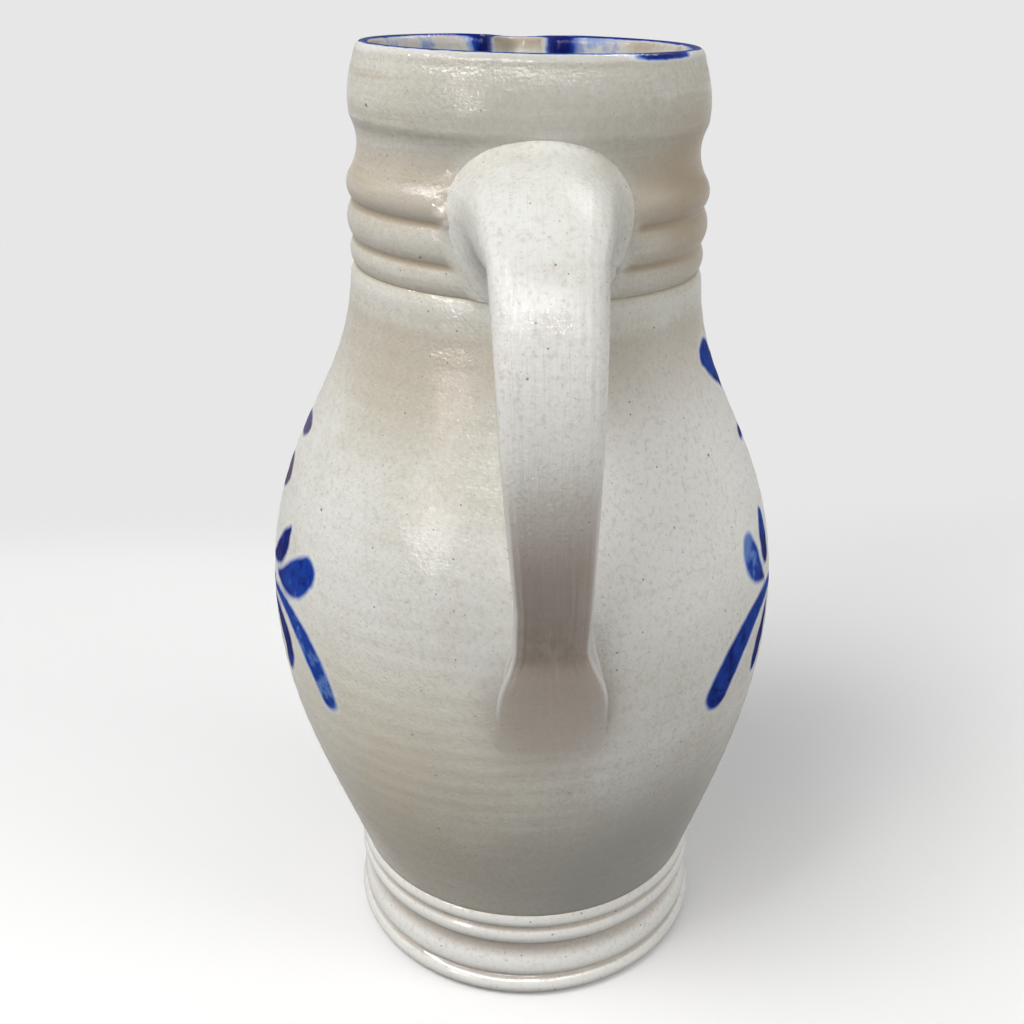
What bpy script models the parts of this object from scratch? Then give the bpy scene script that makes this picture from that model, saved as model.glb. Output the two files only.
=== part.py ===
"""Stoneware pitcher, thrown in sections and luted together.

Metres, +Z up. The origin is the centre of the flat base, the handle points along +X and the
pouring lip along -X. Each object is one piece of clay as the potter joins it, with a thin film
of slip between it and its neighbours.
"""

import math

import bmesh
import bpy
from mathutils import Matrix, Vector

# Slip film between two luted pieces
SLIP = 0.0003
# Facets round a turned piece, and points along a turned curve
FACETS = 40
CURVE_POINTS = 9
BEAD_POINTS = 4

# Floor slab, with a flange that lies on the foot's ledge
FLOOR_THICKNESS = 0.010
FLANGE_WIDTH = 0.004
LEDGE_HEIGHT = 0.0045

# Foot ring: how far its grooves lie inside the belly's seat and the table's edge outside the grooves,
# then each bead's height and how far it stands out, from the table up
FOOT_STEP = 0.0011
FOOT_WALL = 0.0062
CONTACT_STEP = 0.0008
LOW_BEAD_HEIGHT = 0.0072
LOW_BEAD_SWELL = 0.0025
BAND_HEIGHT = 0.0130
BAND_SWELL = 0.0043
BAND_COVE = 0.0006
MIDDLE_BEAD_HEIGHT = 0.0070
MIDDLE_BEAD_SWELL = 0.0018
TOP_BEAD_HEIGHT = 0.0053
TOP_BEAD_SWELL = 0.0013

# Belly: a lower curve from the foot to the widest place and an upper one on to the neck
BELLY_SEAT_RADIUS = 0.0563
BELLY_RADIUS = 0.0776
BELLY_WALL = 0.0060
LOWER_BELLY_HEIGHT = 0.0905
UPPER_BELLY_HEIGHT = 0.1013
SEAT_PULL = 0.0350
SEAT_FLARE = 0.3200
WAIST_PULL = 0.0300
SHOULDER_PULL = 0.0506
THROAT_PULL = 0.0380
THROAT_STEP = 0.0012
THROAT_EDGE = 0.0022

# Lap joints between the thrown sections
LAP_HEIGHT = 0.0050

# Neck: radius at its grooves, then ribs, shoulder bead and cove, from the belly up
NECK_RADIUS = 0.0484
NECK_WALL = 0.0052
LOW_RIB_HEIGHT = 0.0072
LOW_RIB_SWELL = 0.0011
HIGH_RIB_HEIGHT = 0.0100
HIGH_RIB_SWELL = 0.0016
SHOULDER_BEAD_HEIGHT = 0.0080
SHOULDER_BEAD_SWELL = 0.0015
COVE_HEIGHT = 0.0125
COVE_DEPTH = 0.0018

# Collar band and rim: how far its edge stands out from the neck, and how far it draws in above
COLLAR_HEIGHT = 0.0150
COLLAR_EDGE_HEIGHT = 0.0040
COLLAR_EDGE_STEP = 0.0002
COLLAR_TAPER = 0.0023
RIM_THICKNESS = 0.0048
RIM_RISE = 0.0030

# Pouring lip, pulled out of a sector of the collar
NOTCH_HALF_WIDTH = 0.0260
LIP_THROW = 0.0150
LIP_HALF_WIDTH = 0.0080
LIP_RISE = 0.0010
CHEEK_PINCH = 0.0022
CHEEK_OFFSET = 0.0140
CHEEK_WIDTH = 0.0050
LIP_STEPS = 24

# Handle strap: root under the collar, bend past the belly, tail above the belly's widest place
ROOT_DROP = 0.0105
ROOT_SPRING = 0.0270
ROOT_TILT = 0.21
BEND_OVERHANG = 0.0174
BEND_DROP = 0.0590
UPPER_BEND_PULL = 0.0370
LOWER_BEND_PULL = 0.0280
TAIL_RISE = 0.0180
TAIL_SPRING = 0.0160
TAIL_SLOPE = 0.93
STRAP_BURY = 0.0040
STRAP_WIDTH = 0.0290
STRAP_THICKNESS = 0.0130
STRAP_TAIL_WIDTH = 0.0195
STRAP_TAIL_THICKNESS = 0.0105
STRAP_TAPER_SHARE = 0.87
STRAP_SQUARENESS = 2.6
STRAP_SWAY = -0.0028
TAIL_DRIFT = 0.0015
STRAP_STEPS = 22
STRAP_SIDES = 16

# Clay worked round the strap's root: a flare from the neck that dies into the strap
FLARE_WIDTH = 0.0470
FLARE_HEIGHT = 0.0400
FLARE_SAG = 0.0075
FLARE_SHARE = 0.16
FLARE_SLEEVE = 0.0010
FLARE_STEPS = 6

# Clay thumbed down from the strap's tail: a tongue that widens along the belly
TONGUE_RISE = 0.0080
TONGUE_RUN = 0.0440
TONGUE_INSET = 0.0035
TONGUE_WIDTH = 0.0300
TONGUE_PROUD = 0.0052
TONGUE_SINK = 0.0014
TONGUE_SPREAD_SHARE = 0.7
TONGUE_STEPS = 12

# Heights that follow from the stack of sections
FOOT_HEIGHT = LOW_BEAD_HEIGHT + BAND_HEIGHT + MIDDLE_BEAD_HEIGHT + TOP_BEAD_HEIGHT
WIDEST_HEIGHT = FOOT_HEIGHT + LOWER_BELLY_HEIGHT
NECK_SEAT_HEIGHT = WIDEST_HEIGHT + UPPER_BELLY_HEIGHT
COVE_SEAT = LOW_RIB_HEIGHT + HIGH_RIB_HEIGHT + SHOULDER_BEAD_HEIGHT
COLLAR_SEAT = COVE_SEAT + COVE_HEIGHT
RIM_SEAT = COLLAR_SEAT + COLLAR_HEIGHT
COLLAR_LINE_HEIGHT = NECK_SEAT_HEIGHT + COLLAR_SEAT

# Radii that follow from the belly's seat and from the neck
FOOT_RADIUS = BELLY_SEAT_RADIUS - FOOT_STEP
CONTACT_RADIUS = FOOT_RADIUS + CONTACT_STEP
THROAT_RADIUS = NECK_RADIUS + THROAT_STEP
COLLAR_EDGE_RADIUS = NECK_RADIUS + COLLAR_EDGE_STEP
COLLAR_TOP_RADIUS = COLLAR_EDGE_RADIUS - COLLAR_TAPER

# Radii that follow from the walls
FOOT_BORE = BELLY_SEAT_RADIUS - FOOT_WALL
FOOT_LAP = BELLY_SEAT_RADIUS - FOOT_WALL / 2
NECK_BORE = NECK_RADIUS - NECK_WALL
NECK_LAP = NECK_RADIUS - NECK_WALL / 2
RIM_BORE = COLLAR_TOP_RADIUS - RIM_THICKNESS
BEND_REACH = BELLY_RADIUS + BEND_OVERHANG


def eased(share):
    """A share from 0 to 1 that starts and stops gently."""
    share = min(max(share, 0.0), 1.0)
    return share * share * (3 - 2 * share)


def swell(start, end, bulge, points=BEAD_POINTS):
    """Points after start on a low arch to end, standing out by bulge, or sunk if it is negative."""
    along = Vector(end) - Vector(start)
    out = Vector((along.y, -along.x)).normalized()
    shares = [i / points for i in range(1, points + 1)]
    return [tuple(Vector(start) + along * t + out * (4 * bulge * t * (1 - t))) for t in shares]


def bezier_point(a, b, c, d, t):
    """The point at t of the cubic curve with these control points."""
    s = 1 - t
    return a * s**3 + b * (3 * s * s * t) + c * (3 * s * t * t) + d * t**3


def bezier(a, b, c, d, points=CURVE_POINTS):
    """Points after a on the cubic curve to d."""
    controls = [Vector(p) for p in (a, b, c, d)]
    return [tuple(bezier_point(*controls, i / points)) for i in range(1, points + 1)]


def foot_outside():
    """The foot's beads, from the table up to the belly's seat."""
    band = LOW_BEAD_HEIGHT
    middle = band + BAND_HEIGHT
    top = middle + MIDDLE_BEAD_HEIGHT
    line = [(CONTACT_RADIUS, 0.0)]
    line += swell(line[-1], (FOOT_RADIUS, band), LOW_BEAD_SWELL)
    low_pull = (FOOT_RADIUS + BAND_SWELL, band + BAND_HEIGHT * 0.25)
    high_pull = (FOOT_RADIUS - BAND_COVE, band + BAND_HEIGHT * 0.60)
    line += bezier(line[-1], low_pull, high_pull, (FOOT_RADIUS, middle), BEAD_POINTS + 2)
    line += swell(line[-1], (FOOT_RADIUS, top), MIDDLE_BEAD_SWELL)
    line += swell(line[-1], (BELLY_SEAT_RADIUS, FOOT_HEIGHT), TOP_BEAD_SWELL)
    return line


def belly_curve(inset, seat, throat):
    """The belly's wall above the foot, with its widest place drawn in by inset."""
    widest = BELLY_RADIUS - inset
    middle = LOWER_BELLY_HEIGHT
    top = middle + UPPER_BELLY_HEIGHT
    line = [(seat, 0.0)]
    seat_pull = (seat + SEAT_PULL * SEAT_FLARE, SEAT_PULL)
    line += bezier(line[-1], seat_pull, (widest, middle - WAIST_PULL), (widest, middle))
    throat_pull = (throat, top - THROAT_PULL)
    line += bezier(line[-1], (widest, middle + SHOULDER_PULL), throat_pull, (throat, top))
    return line


def belly_outside():
    """The belly's outside, with a soft edge under the neck's lowest groove."""
    line = belly_curve(0.0, BELLY_SEAT_RADIUS, THROAT_RADIUS)
    top = line[-1][1]
    return line[:-1] + [(THROAT_RADIUS, top - THROAT_EDGE), (NECK_RADIUS, top)]


def rib_outside():
    """The neck's ribs and shoulder bead, from the belly's top to the cove."""
    line = [(NECK_RADIUS, 0.0)]
    line += swell(line[-1], (NECK_RADIUS, LOW_RIB_HEIGHT), LOW_RIB_SWELL)
    line += swell(line[-1], (NECK_RADIUS, LOW_RIB_HEIGHT + HIGH_RIB_HEIGHT), HIGH_RIB_SWELL)
    line += swell(line[-1], (NECK_RADIUS, COVE_SEAT), SHOULDER_BEAD_SWELL, BEAD_POINTS + 1)
    return line


def collar_outside():
    """The cove, the collar band and the rounded rim, over to the inside edge."""
    edge = COLLAR_SEAT + COLLAR_EDGE_HEIGHT
    line = [(NECK_RADIUS, COVE_SEAT)]
    line += swell(line[-1], (NECK_RADIUS, COLLAR_SEAT), -COVE_DEPTH, BEAD_POINTS + 1)
    line += [(COLLAR_EDGE_RADIUS, edge)]
    line += swell(line[-1], (COLLAR_TOP_RADIUS, RIM_SEAT), RIM_THICKNESS / 10, 3)
    middle = COLLAR_TOP_RADIUS - RIM_THICKNESS / 2
    turns = [math.pi * i / 6 for i in range(1, 7)]
    line += [(middle + RIM_THICKNESS / 2 * math.cos(a), RIM_SEAT + RIM_RISE * math.sin(a)) for a in turns]
    return line


def bore_at(height):
    """The neck's inside radius at a height above its seat."""
    return NECK_BORE + (RIM_BORE - NECK_BORE) * height / RIM_SEAT


def lifted(line, rise):
    return [(radius, height + rise) for radius, height in line]


def body_outside():
    """The whole outside of the pot, from the table to the rim."""
    belly = lifted(belly_outside(), FOOT_HEIGHT)
    neck = lifted(rib_outside() + collar_outside()[1:], NECK_SEAT_HEIGHT)
    return foot_outside() + belly[1:] + neck[1:]


def body_radius(height):
    """The outside radius of the pot at a height."""
    line = body_outside()
    for (low, under), (high, over) in zip(line, line[1:]):
        if under <= height <= over:
            return low + (high - low) * (height - under) / max(over - under, SLIP)
    return COLLAR_TOP_RADIUS


def glaze(name, colour, roughness):
    """A fired clay surface of one colour."""
    material = bpy.data.materials.new(name)
    material.use_nodes = True
    shader = material.node_tree.nodes["Principled BSDF"]
    shader.inputs["Base Color"].default_value = (*colour, 1.0)
    shader.inputs["Roughness"].default_value = roughness
    shader.inputs["Metallic"].default_value = 0.0
    return material


def new_piece(name, bm, height=0.0, material=None):
    """An object from a finished bmesh, standing at a height on the pitcher's axis."""
    bmesh.ops.recalc_face_normals(bm, faces=bm.faces)
    mesh = bpy.data.meshes.new(name)
    bm.to_mesh(mesh)
    bm.free()
    mesh.shade_smooth()
    mesh.set_sharp_from_angle(angle=math.radians(40))
    piece = bpy.data.objects.new(name, mesh)
    bpy.context.scene.collection.objects.link(piece)
    piece.parent = bpy.data.objects["pitcher"]
    piece.location.z = height
    if material:
        mesh.materials.append(material)
    else:
        piece.hide_render = True
        piece.display_type = "WIRE"
    return piece


def cut(piece, cutter):
    boolean = piece.modifiers.new(cutter.name, "BOOLEAN")
    boolean.operation = "DIFFERENCE"
    boolean.solver = "EXACT"
    boolean.object = cutter


def turned(line, first=0.0, sweep=math.tau, steps=FACETS):
    """The closed outline of radius and height pairs, turned about Z from the first angle."""
    bm = bmesh.new()
    verts = [bm.verts.new((radius, 0.0, height)) for radius, height in line]
    edges = [bm.edges.new(pair) for pair in zip(verts, verts[1:] + verts[:1])]
    bmesh.ops.rotate(bm, verts=verts, cent=(0, 0, 0), matrix=Matrix.Rotation(first, 3, "Z"))
    whole = sweep == math.tau
    geometry = verts + edges
    bmesh.ops.spin(bm, geom=geometry, axis=(0, 0, 1), angle=sweep, steps=steps, use_merge=whole)
    if not whole:
        bmesh.ops.holes_fill(bm, edges=[e for e in bm.edges if e.is_boundary])
    return bm


def lofted(sides, places, squareness=2.0):
    """A unit round or squarish section, carried through a row of places and capped at both ends."""
    bm = bmesh.new()
    bmesh.ops.create_circle(bm, segments=sides, radius=1.0)
    power = 2.0 / squareness
    for vert in bm.verts:
        vert.co.x = math.copysign(abs(vert.co.x) ** power, vert.co.x)
        vert.co.y = math.copysign(abs(vert.co.y) ** power, vert.co.y)
    ring = list(bm.edges)
    last = Matrix.Identity(4)
    for spot in places:
        if spot is not places[0]:
            made = bmesh.ops.extrude_edge_only(bm, edges=ring)["geom"]
            ring = [item for item in made if isinstance(item, bmesh.types.BMEdge)]
        verts = list({vert for edge in ring for vert in edge.verts})
        bmesh.ops.transform(bm, matrix=spot @ last.inverted(), verts=verts)
        last = spot
    bmesh.ops.holes_fill(bm, edges=[e for e in bm.edges if e.is_boundary])
    return bm


def make_floor(material):
    """The flat disc that the pitcher stands on, stepped to lie on the foot's ledge."""
    flange = FOOT_BORE - SLIP
    boss = flange - FLANGE_WIDTH
    step = LEDGE_HEIGHT + SLIP
    rings = [(boss, 0.0), (boss, step), (flange, step), (flange, FLOOR_THICKNESS)]
    places = [Matrix.Translation((0, 0, height)) @ Matrix.Scale(radius, 4) for radius, height in rings]
    return new_piece("floor_slab", lofted(FACETS, places), material=material)


def make_foot(material):
    """The beaded ring round the floor, with a ledge for it and a rebate for the belly."""
    shelf = FOOT_HEIGHT - LAP_HEIGHT - SLIP
    ledge_radius = FOOT_BORE - FLANGE_WIDTH
    line = foot_outside()
    line += [(FOOT_LAP + SLIP, FOOT_HEIGHT), (FOOT_LAP + SLIP, shelf), (FOOT_BORE, shelf)]
    line += [(FOOT_BORE, LEDGE_HEIGHT), (ledge_radius, LEDGE_HEIGHT), (ledge_radius, 0.0)]
    return new_piece("foot_ring", turned(line), material=material)


def make_belly(material):
    """The thrown lower section, lapped into the foot below and into the neck above."""
    top = LOWER_BELLY_HEIGHT + UPPER_BELLY_HEIGHT
    line = belly_outside()
    line[0] = (BELLY_SEAT_RADIUS, SLIP)
    line += [(NECK_LAP, top), (NECK_LAP, top + LAP_HEIGHT), (NECK_BORE, top + LAP_HEIGHT)]
    line += belly_curve(BELLY_WALL, FOOT_BORE, NECK_BORE)[::-1]
    line += [(FOOT_BORE, -LAP_HEIGHT), (FOOT_LAP, -LAP_HEIGHT), (FOOT_LAP, SLIP)]
    return new_piece("belly", turned(line), FOOT_HEIGHT, material)


def make_neck(material):
    """The thrown upper section: ribs, cove and collar, notched where the lip is set in."""
    shelf = LAP_HEIGHT + SLIP
    line = rib_outside() + collar_outside()[1:]
    line[0] = (NECK_RADIUS, SLIP)
    line += [(bore_at(shelf), shelf), (NECK_LAP + SLIP, shelf), (NECK_LAP + SLIP, SLIP)]
    neck = new_piece("neck", turned(line), NECK_SEAT_HEIGHT, material)
    half = (NOTCH_HALF_WIDTH + SLIP) / RIM_BORE
    inside = RIM_BORE - NECK_WALL
    outside = COLLAR_EDGE_RADIUS + NECK_WALL
    over = RIM_SEAT + RIM_RISE + NECK_WALL
    window = [(outside, COVE_SEAT - SLIP), (outside, over), (inside, over), (inside, COVE_SEAT - SLIP)]
    notch = turned(window, math.pi - half, 2 * half, LIP_STEPS)
    cut(neck, new_piece("notch_cutter", notch, NECK_SEAT_HEIGHT))
    return neck


def make_spout(material):
    """The collar's sector in the notch, pulled out into a lip between two pinched cheeks."""
    half = NOTCH_HALF_WIDTH / RIM_BORE
    line = collar_outside()
    line += [(bore_at(COVE_SEAT), COVE_SEAT)]
    bm = turned(line, math.pi - half, 2 * half, LIP_STEPS)
    for vert in bm.verts:
        aside = RIM_BORE * math.atan2(vert.co.y, -vert.co.x)
        share = (vert.co.z - COVE_SEAT) / (RIM_SEAT + RIM_RISE - COVE_SEAT)
        lift = eased(share) * (1 - (aside / NOTCH_HALF_WIDTH) ** 4)
        pull = lift * math.exp(-((aside / LIP_HALF_WIDTH) ** 2))
        pinch = lift * math.exp(-(((abs(aside) - CHEEK_OFFSET) / CHEEK_WIDTH) ** 2))
        out = Vector((vert.co.x, vert.co.y, 0.0)).normalized()
        vert.co += out * (LIP_THROW * pull - CHEEK_PINCH * pinch)
        vert.co.z += LIP_RISE * pull
    return new_piece("spout", bm, NECK_SEAT_HEIGHT, material)


def strap_line(share):
    """The middle of the strap at a share of its run, and its direction there."""
    root_height = COLLAR_LINE_HEIGHT - ROOT_DROP
    tail_height = WIDEST_HEIGHT + TAIL_RISE
    root = Vector((body_radius(root_height) - STRAP_BURY, root_height))
    bend = Vector((BEND_REACH, COLLAR_LINE_HEIGHT - BEND_DROP))
    tail = Vector((body_radius(tail_height) - STRAP_BURY, tail_height))
    spring = Vector((math.cos(ROOT_TILT), math.sin(ROOT_TILT))) * ROOT_SPRING
    settle = Vector((math.cos(TAIL_SLOPE), math.sin(TAIL_SLOPE))) * TAIL_SPRING
    upper = (root, root + spring, bend + Vector((0, UPPER_BEND_PULL)), bend)
    lower = (bend, bend - Vector((0, LOWER_BEND_PULL)), tail + settle, tail)

    def at(run):
        x, z = bezier_point(*upper, 2 * run) if run < 0.5 else bezier_point(*lower, 2 * run - 1)
        y = STRAP_SWAY * math.sin(math.pi * run) + TAIL_DRIFT * eased(run)
        return Vector((x, y, z))

    step = 0.25 / STRAP_STEPS
    ahead = at(min(share + step, 1.0)) - at(max(share - step, 0.0))
    return at(share), ahead.normalized()


def strap_axes(share):
    """The strap's middle, its half width across, its half thickness outwards, and its direction."""
    middle, ahead = strap_line(share)
    out = ahead.cross(Vector((0, 1, 0))).normalized()
    across = out.cross(ahead)
    width = STRAP_WIDTH + (STRAP_TAIL_WIDTH - STRAP_WIDTH) * eased(share / STRAP_TAPER_SHARE)
    thickness = STRAP_THICKNESS + (STRAP_TAIL_THICKNESS - STRAP_THICKNESS) * share
    return middle, across * (width / 2), out * (thickness / 2), ahead


def place(middle, across, out, ahead):
    """The matrix that carries the unit section to a place with these half sizes."""
    return Matrix.Translation(middle) @ Matrix((across, out, ahead)).transposed().to_4x4()


def grown(vector, amount):
    return vector + vector.normalized() * amount


def make_strap(grow=0.0):
    """The pulled strap as one tapering bar, grown all round by grow."""
    places = []
    for step in range(STRAP_STEPS + 1):
        middle, across, out, ahead = strap_axes(step / STRAP_STEPS)
        places.append(place(middle, grown(across, grow), grown(out, grow), ahead))
    return lofted(STRAP_SIDES, places, STRAP_SQUARENESS)


def make_flare():
    """The clay round the strap's root, still solid where the neck and the strap go through it."""
    places = []
    for step in range(FLARE_STEPS + 1):
        middle, across, out, ahead = strap_axes(FLARE_SHARE * step / FLARE_STEPS)
        spread = (1 - step / FLARE_STEPS) ** 2
        wide = grown(across, FLARE_SLEEVE + (FLARE_WIDTH / 2 - across.length) * spread)
        tall = grown(out, FLARE_SLEEVE + (FLARE_HEIGHT / 2 - out.length) * spread)
        middle = middle - out.normalized() * (FLARE_SAG * spread)
        if step == 0:
            places.append(place(middle - ahead * FLARE_WIDTH / 4, wide, tall, ahead))
        places.append(place(middle, wide, tall, ahead))
    return lofted(STRAP_SIDES + 8, places)


def make_tongue():
    """The clay below the strap's tail, still solid where the belly and the strap go through it."""
    top = WIDEST_HEIGHT + TAIL_RISE + TONGUE_RISE
    root_width = STRAP_TAIL_WIDTH - TONGUE_INSET
    places = []
    for step in range(TONGUE_STEPS + 1):
        share = step / TONGUE_STEPS
        height = top - TONGUE_RUN * share
        drop = body_radius(height - SLIP) - body_radius(height + SLIP)
        out = Vector((2 * SLIP, 0, drop)).normalized()
        ahead = Vector((drop, 0, -2 * SLIP)).normalized()
        middle = Vector((body_radius(height), TAIL_DRIFT, height)) - out * STRAP_BURY
        width = root_width + (TONGUE_WIDTH - root_width) * eased(share / TONGUE_SPREAD_SHARE)
        proud = (TONGUE_PROUD + TONGUE_SINK) * math.sin(math.pi * math.sqrt(share)) - TONGUE_SINK
        across = out.cross(ahead) * (width / 2)
        places.append(place(middle, across, out * (STRAP_BURY + proud), ahead))
    return lofted(STRAP_SIDES + 8, places, STRAP_SQUARENESS)


def make_handle(strap_material, flare_material, tongue_material):
    """The strap and the clay round its ends, all fitted to the pot's outside."""
    core = NECK_BORE / 2
    line = [(radius + SLIP, height) for radius, height in body_outside()]
    line += [(core, line[-1][1]), (core, 0.0)]
    body = new_piece("body_cutter", turned(line))
    strap = new_piece("strap_cutter", make_strap(SLIP))
    handle = new_piece("handle", make_strap(), material=strap_material)
    upper = new_piece("upper_luting", make_flare(), material=flare_material)
    lower = new_piece("lower_luting", make_tongue(), material=tongue_material)
    cut(handle, body)
    for luting in (upper, lower):
        cut(luting, body)
        cut(luting, strap)


def main():
    for old in list(bpy.data.objects):
        bpy.data.objects.remove(old)
    root = bpy.data.objects.new("pitcher", None)
    bpy.context.scene.collection.objects.link(root)
    make_floor(glaze("bare_stoneware", (0.52, 0.45, 0.36), 0.80))
    make_foot(glaze("foot_glaze", (0.60, 0.58, 0.52), 0.28))
    make_belly(glaze("belly_glaze", (0.56, 0.54, 0.47), 0.34))
    make_neck(glaze("neck_glaze", (0.57, 0.56, 0.50), 0.32))
    make_spout(glaze("lip_glaze", (0.42, 0.47, 0.58), 0.28))
    make_handle(
        glaze("handle_glaze", (0.60, 0.59, 0.53), 0.30),
        glaze("upper_luting_glaze", (0.58, 0.57, 0.51), 0.32),
        glaze("lower_luting_glaze", (0.55, 0.53, 0.46), 0.34),
    )


main()
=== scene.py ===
"""Stoneware pitcher, dressed: thrown body, pulled handle, salt glaze and cobalt brushwork.

The packed solids are the frame, and each piece made here stands where its solids stand.
Metres, +Z up. The handle points along +X and the pouring lip along -X.
"""

import math

import bmesh
import bpy
import numpy as np
from bpy.props import FloatProperty, FloatVectorProperty, PointerProperty
from mathutils import Matrix, Vector
from mathutils.geometry import interpolate_bezier


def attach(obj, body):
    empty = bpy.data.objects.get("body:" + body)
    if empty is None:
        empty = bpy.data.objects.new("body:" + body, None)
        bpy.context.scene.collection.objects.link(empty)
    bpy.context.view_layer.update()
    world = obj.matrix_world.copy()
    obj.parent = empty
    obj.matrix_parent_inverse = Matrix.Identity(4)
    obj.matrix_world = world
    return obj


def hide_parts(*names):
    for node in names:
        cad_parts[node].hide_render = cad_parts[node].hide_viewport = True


bl_info = {
    "name": "Stoneware pitcher",
    "version": (1, 0, 0),
    "blender": (4, 5, 0),
    "location": "3D View > Sidebar > Pitcher",
    "description": "Dresses a packed pitcher with thrown clay, a pulled handle, salt glaze and brushwork",
    "category": "Object",
}

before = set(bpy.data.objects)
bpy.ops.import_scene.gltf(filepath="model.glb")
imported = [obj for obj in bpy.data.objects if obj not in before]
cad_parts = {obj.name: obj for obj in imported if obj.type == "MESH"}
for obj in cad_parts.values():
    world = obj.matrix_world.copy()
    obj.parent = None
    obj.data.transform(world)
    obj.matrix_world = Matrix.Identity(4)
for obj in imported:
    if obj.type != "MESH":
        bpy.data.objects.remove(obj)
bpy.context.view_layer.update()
WELD = 1e-6
MM = 0.001

# Steps round the turned pieces, and spaces between rings on the outside and the inside
FOOT_STEPS = 288
BELLY_STEPS = 400
NECK_STEPS = 320
FLOOR_STEPS = 144
FINE_GAP = 0.0005
BELLY_GAP = 0.0014
INSIDE_GAP = 0.0035

# Rows along the handle and points round it, and where on its run the strap meets its worked ends
STRAP_ROWS = 84
FLARE_ROWS = 32
CAP_ROWS = 5
STRAP_SIDES = 112
ROOT_SHARE = 0.27
TAIL_SHARE = 0.80
STRAP_RIDGE = 0.07 * MM

# Slip between two pieces, how far one laps into the next, and the room that the lap needs
SLIP = 0.3 * MM
LAP = 5 * MM
LAP_ROOM = 5.3 * MM

# How the soft pot slumped: its rise over the widest place, its reach down and up, and how it left the round
SLUMP_RISE = 14 * MM
SLUMP_DOWN = 55 * MM
SLUMP_UP = 75 * MM
OVAL = 0.22 * MM
THREE_SIDED = 0.13 * MM
HELD_BY_FOOT = 0.03

# Where below its seat the neck starts to lean back and to tilt, and over what height it does so
LEAN_BACK = (24 * MM, 80 * MM)
TILT_UP = (15 * MM, 70 * MM)
WEB_EDGE = 0.16

# Ridges of the potter's fingers: height of a ridge and distance to the next
FLOOR_SPIRAL = (0.22 * MM, 6.5 * MM)
BELLY_INSIDE = (0.35 * MM, 8.5 * MM)
BELLY_OUTSIDE = (0.05 * MM, 6.3 * MM)
NECK_INSIDE = (0.15 * MM, 7 * MM)
FLOOR_SINK = 0.3 * MM

# Cobalt on the rim: half width of its line, its run down inside, and the outer streak's angle and half width
RIM_LINE = 1.1 * MM
WASH_RUN = 14 * MM
STREAK_TURN = 0.74
STREAK_HALF = 0.26


def length(name, about, default):
    """A size that a user can change."""
    return FloatProperty(name=name, description=about, default=default, unit="LENGTH", precision=5)


def turn(name, about, default):
    """An angle that a user can change."""
    return FloatProperty(name=name, description=about, default=default, subtype="ANGLE")


def hue(name, about, default):
    """A colour that a user can change."""
    return FloatVectorProperty(
        name=name, description=about, default=default, size=3, min=0.0, max=1.0, subtype="COLOR"
    )


class FootSizes(bpy.types.PropertyGroup):
    """The beaded foot and the floor in it."""

    groove_radius: length("Groove radius", "Radius in the grooves between the beads", 0.0552)
    contact_radius: length("Contact radius", "Radius where the foot meets the table", 0.0560)
    bore: length("Bore", "Inside radius of the foot", 0.0501)
    low_bead: length("Low bead", "Height of the lowest bead", 0.0072)
    low_swell: length("Low swell", "How far the lowest bead stands out", 0.0028)
    band: length("Band", "Height of the wide band", 0.0130)
    band_swell: length("Band swell", "How far the band's lower part stands out", 0.0056)
    band_cove: length("Band cove", "How far the band's upper part sinks in", 0.0016)
    middle_bead: length("Middle bead", "Height of the middle bead", 0.0070)
    middle_swell: length("Middle swell", "How far the middle bead stands out", 0.0022)
    top_bead: length("Top bead", "Height of the top bead", 0.0053)
    top_swell: length("Top swell", "How far the top bead stands out", 0.0016)
    floor: length("Floor", "Thickness of the floor slab", 0.0100)
    floor_radius: length("Floor radius", "Radius of the floor slab's flange", 0.0498)
    boss_radius: length("Boss radius", "Radius of the floor slab's face on the table", 0.0458)
    ledge: length("Ledge", "Height of the step under the flange", 0.0048)


class BellySizes(bpy.types.PropertyGroup):
    """The thrown belly."""

    seat: length("Seat", "Radius on the foot", 0.0563)
    widest: length("Widest", "Radius at the widest place", 0.0776)
    wall: length("Wall", "Wall thickness", 0.0060)
    lower: length("Lower height", "Height from the foot to the widest place", 0.0905)
    upper: length("Upper height", "Height from the widest place to the neck", 0.1013)
    seat_pull: length("Seat pull", "How long the wall keeps its slope above the foot", 0.0350)
    seat_flare: FloatProperty(name="Seat flare", description="Slope of the wall at the foot", default=0.32)
    waist_pull: length("Waist pull", "How long the wall stays upright below the widest place", 0.0300)
    shoulder_pull: length("Shoulder pull", "How long it stays upright above the widest place", 0.0506)
    throat_pull: length("Throat pull", "How long it stays upright below the neck", 0.0380)
    throat: length("Throat", "Radius under the neck", 0.0496)
    throat_edge: length("Throat edge", "Height of the soft edge under the neck", 0.0022)
    lean: length("Lean", "How far the soft belly slumped aside", -0.00165)
    tip: length("Tip", "How far the neck then leans back", 0.00045)


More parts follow.
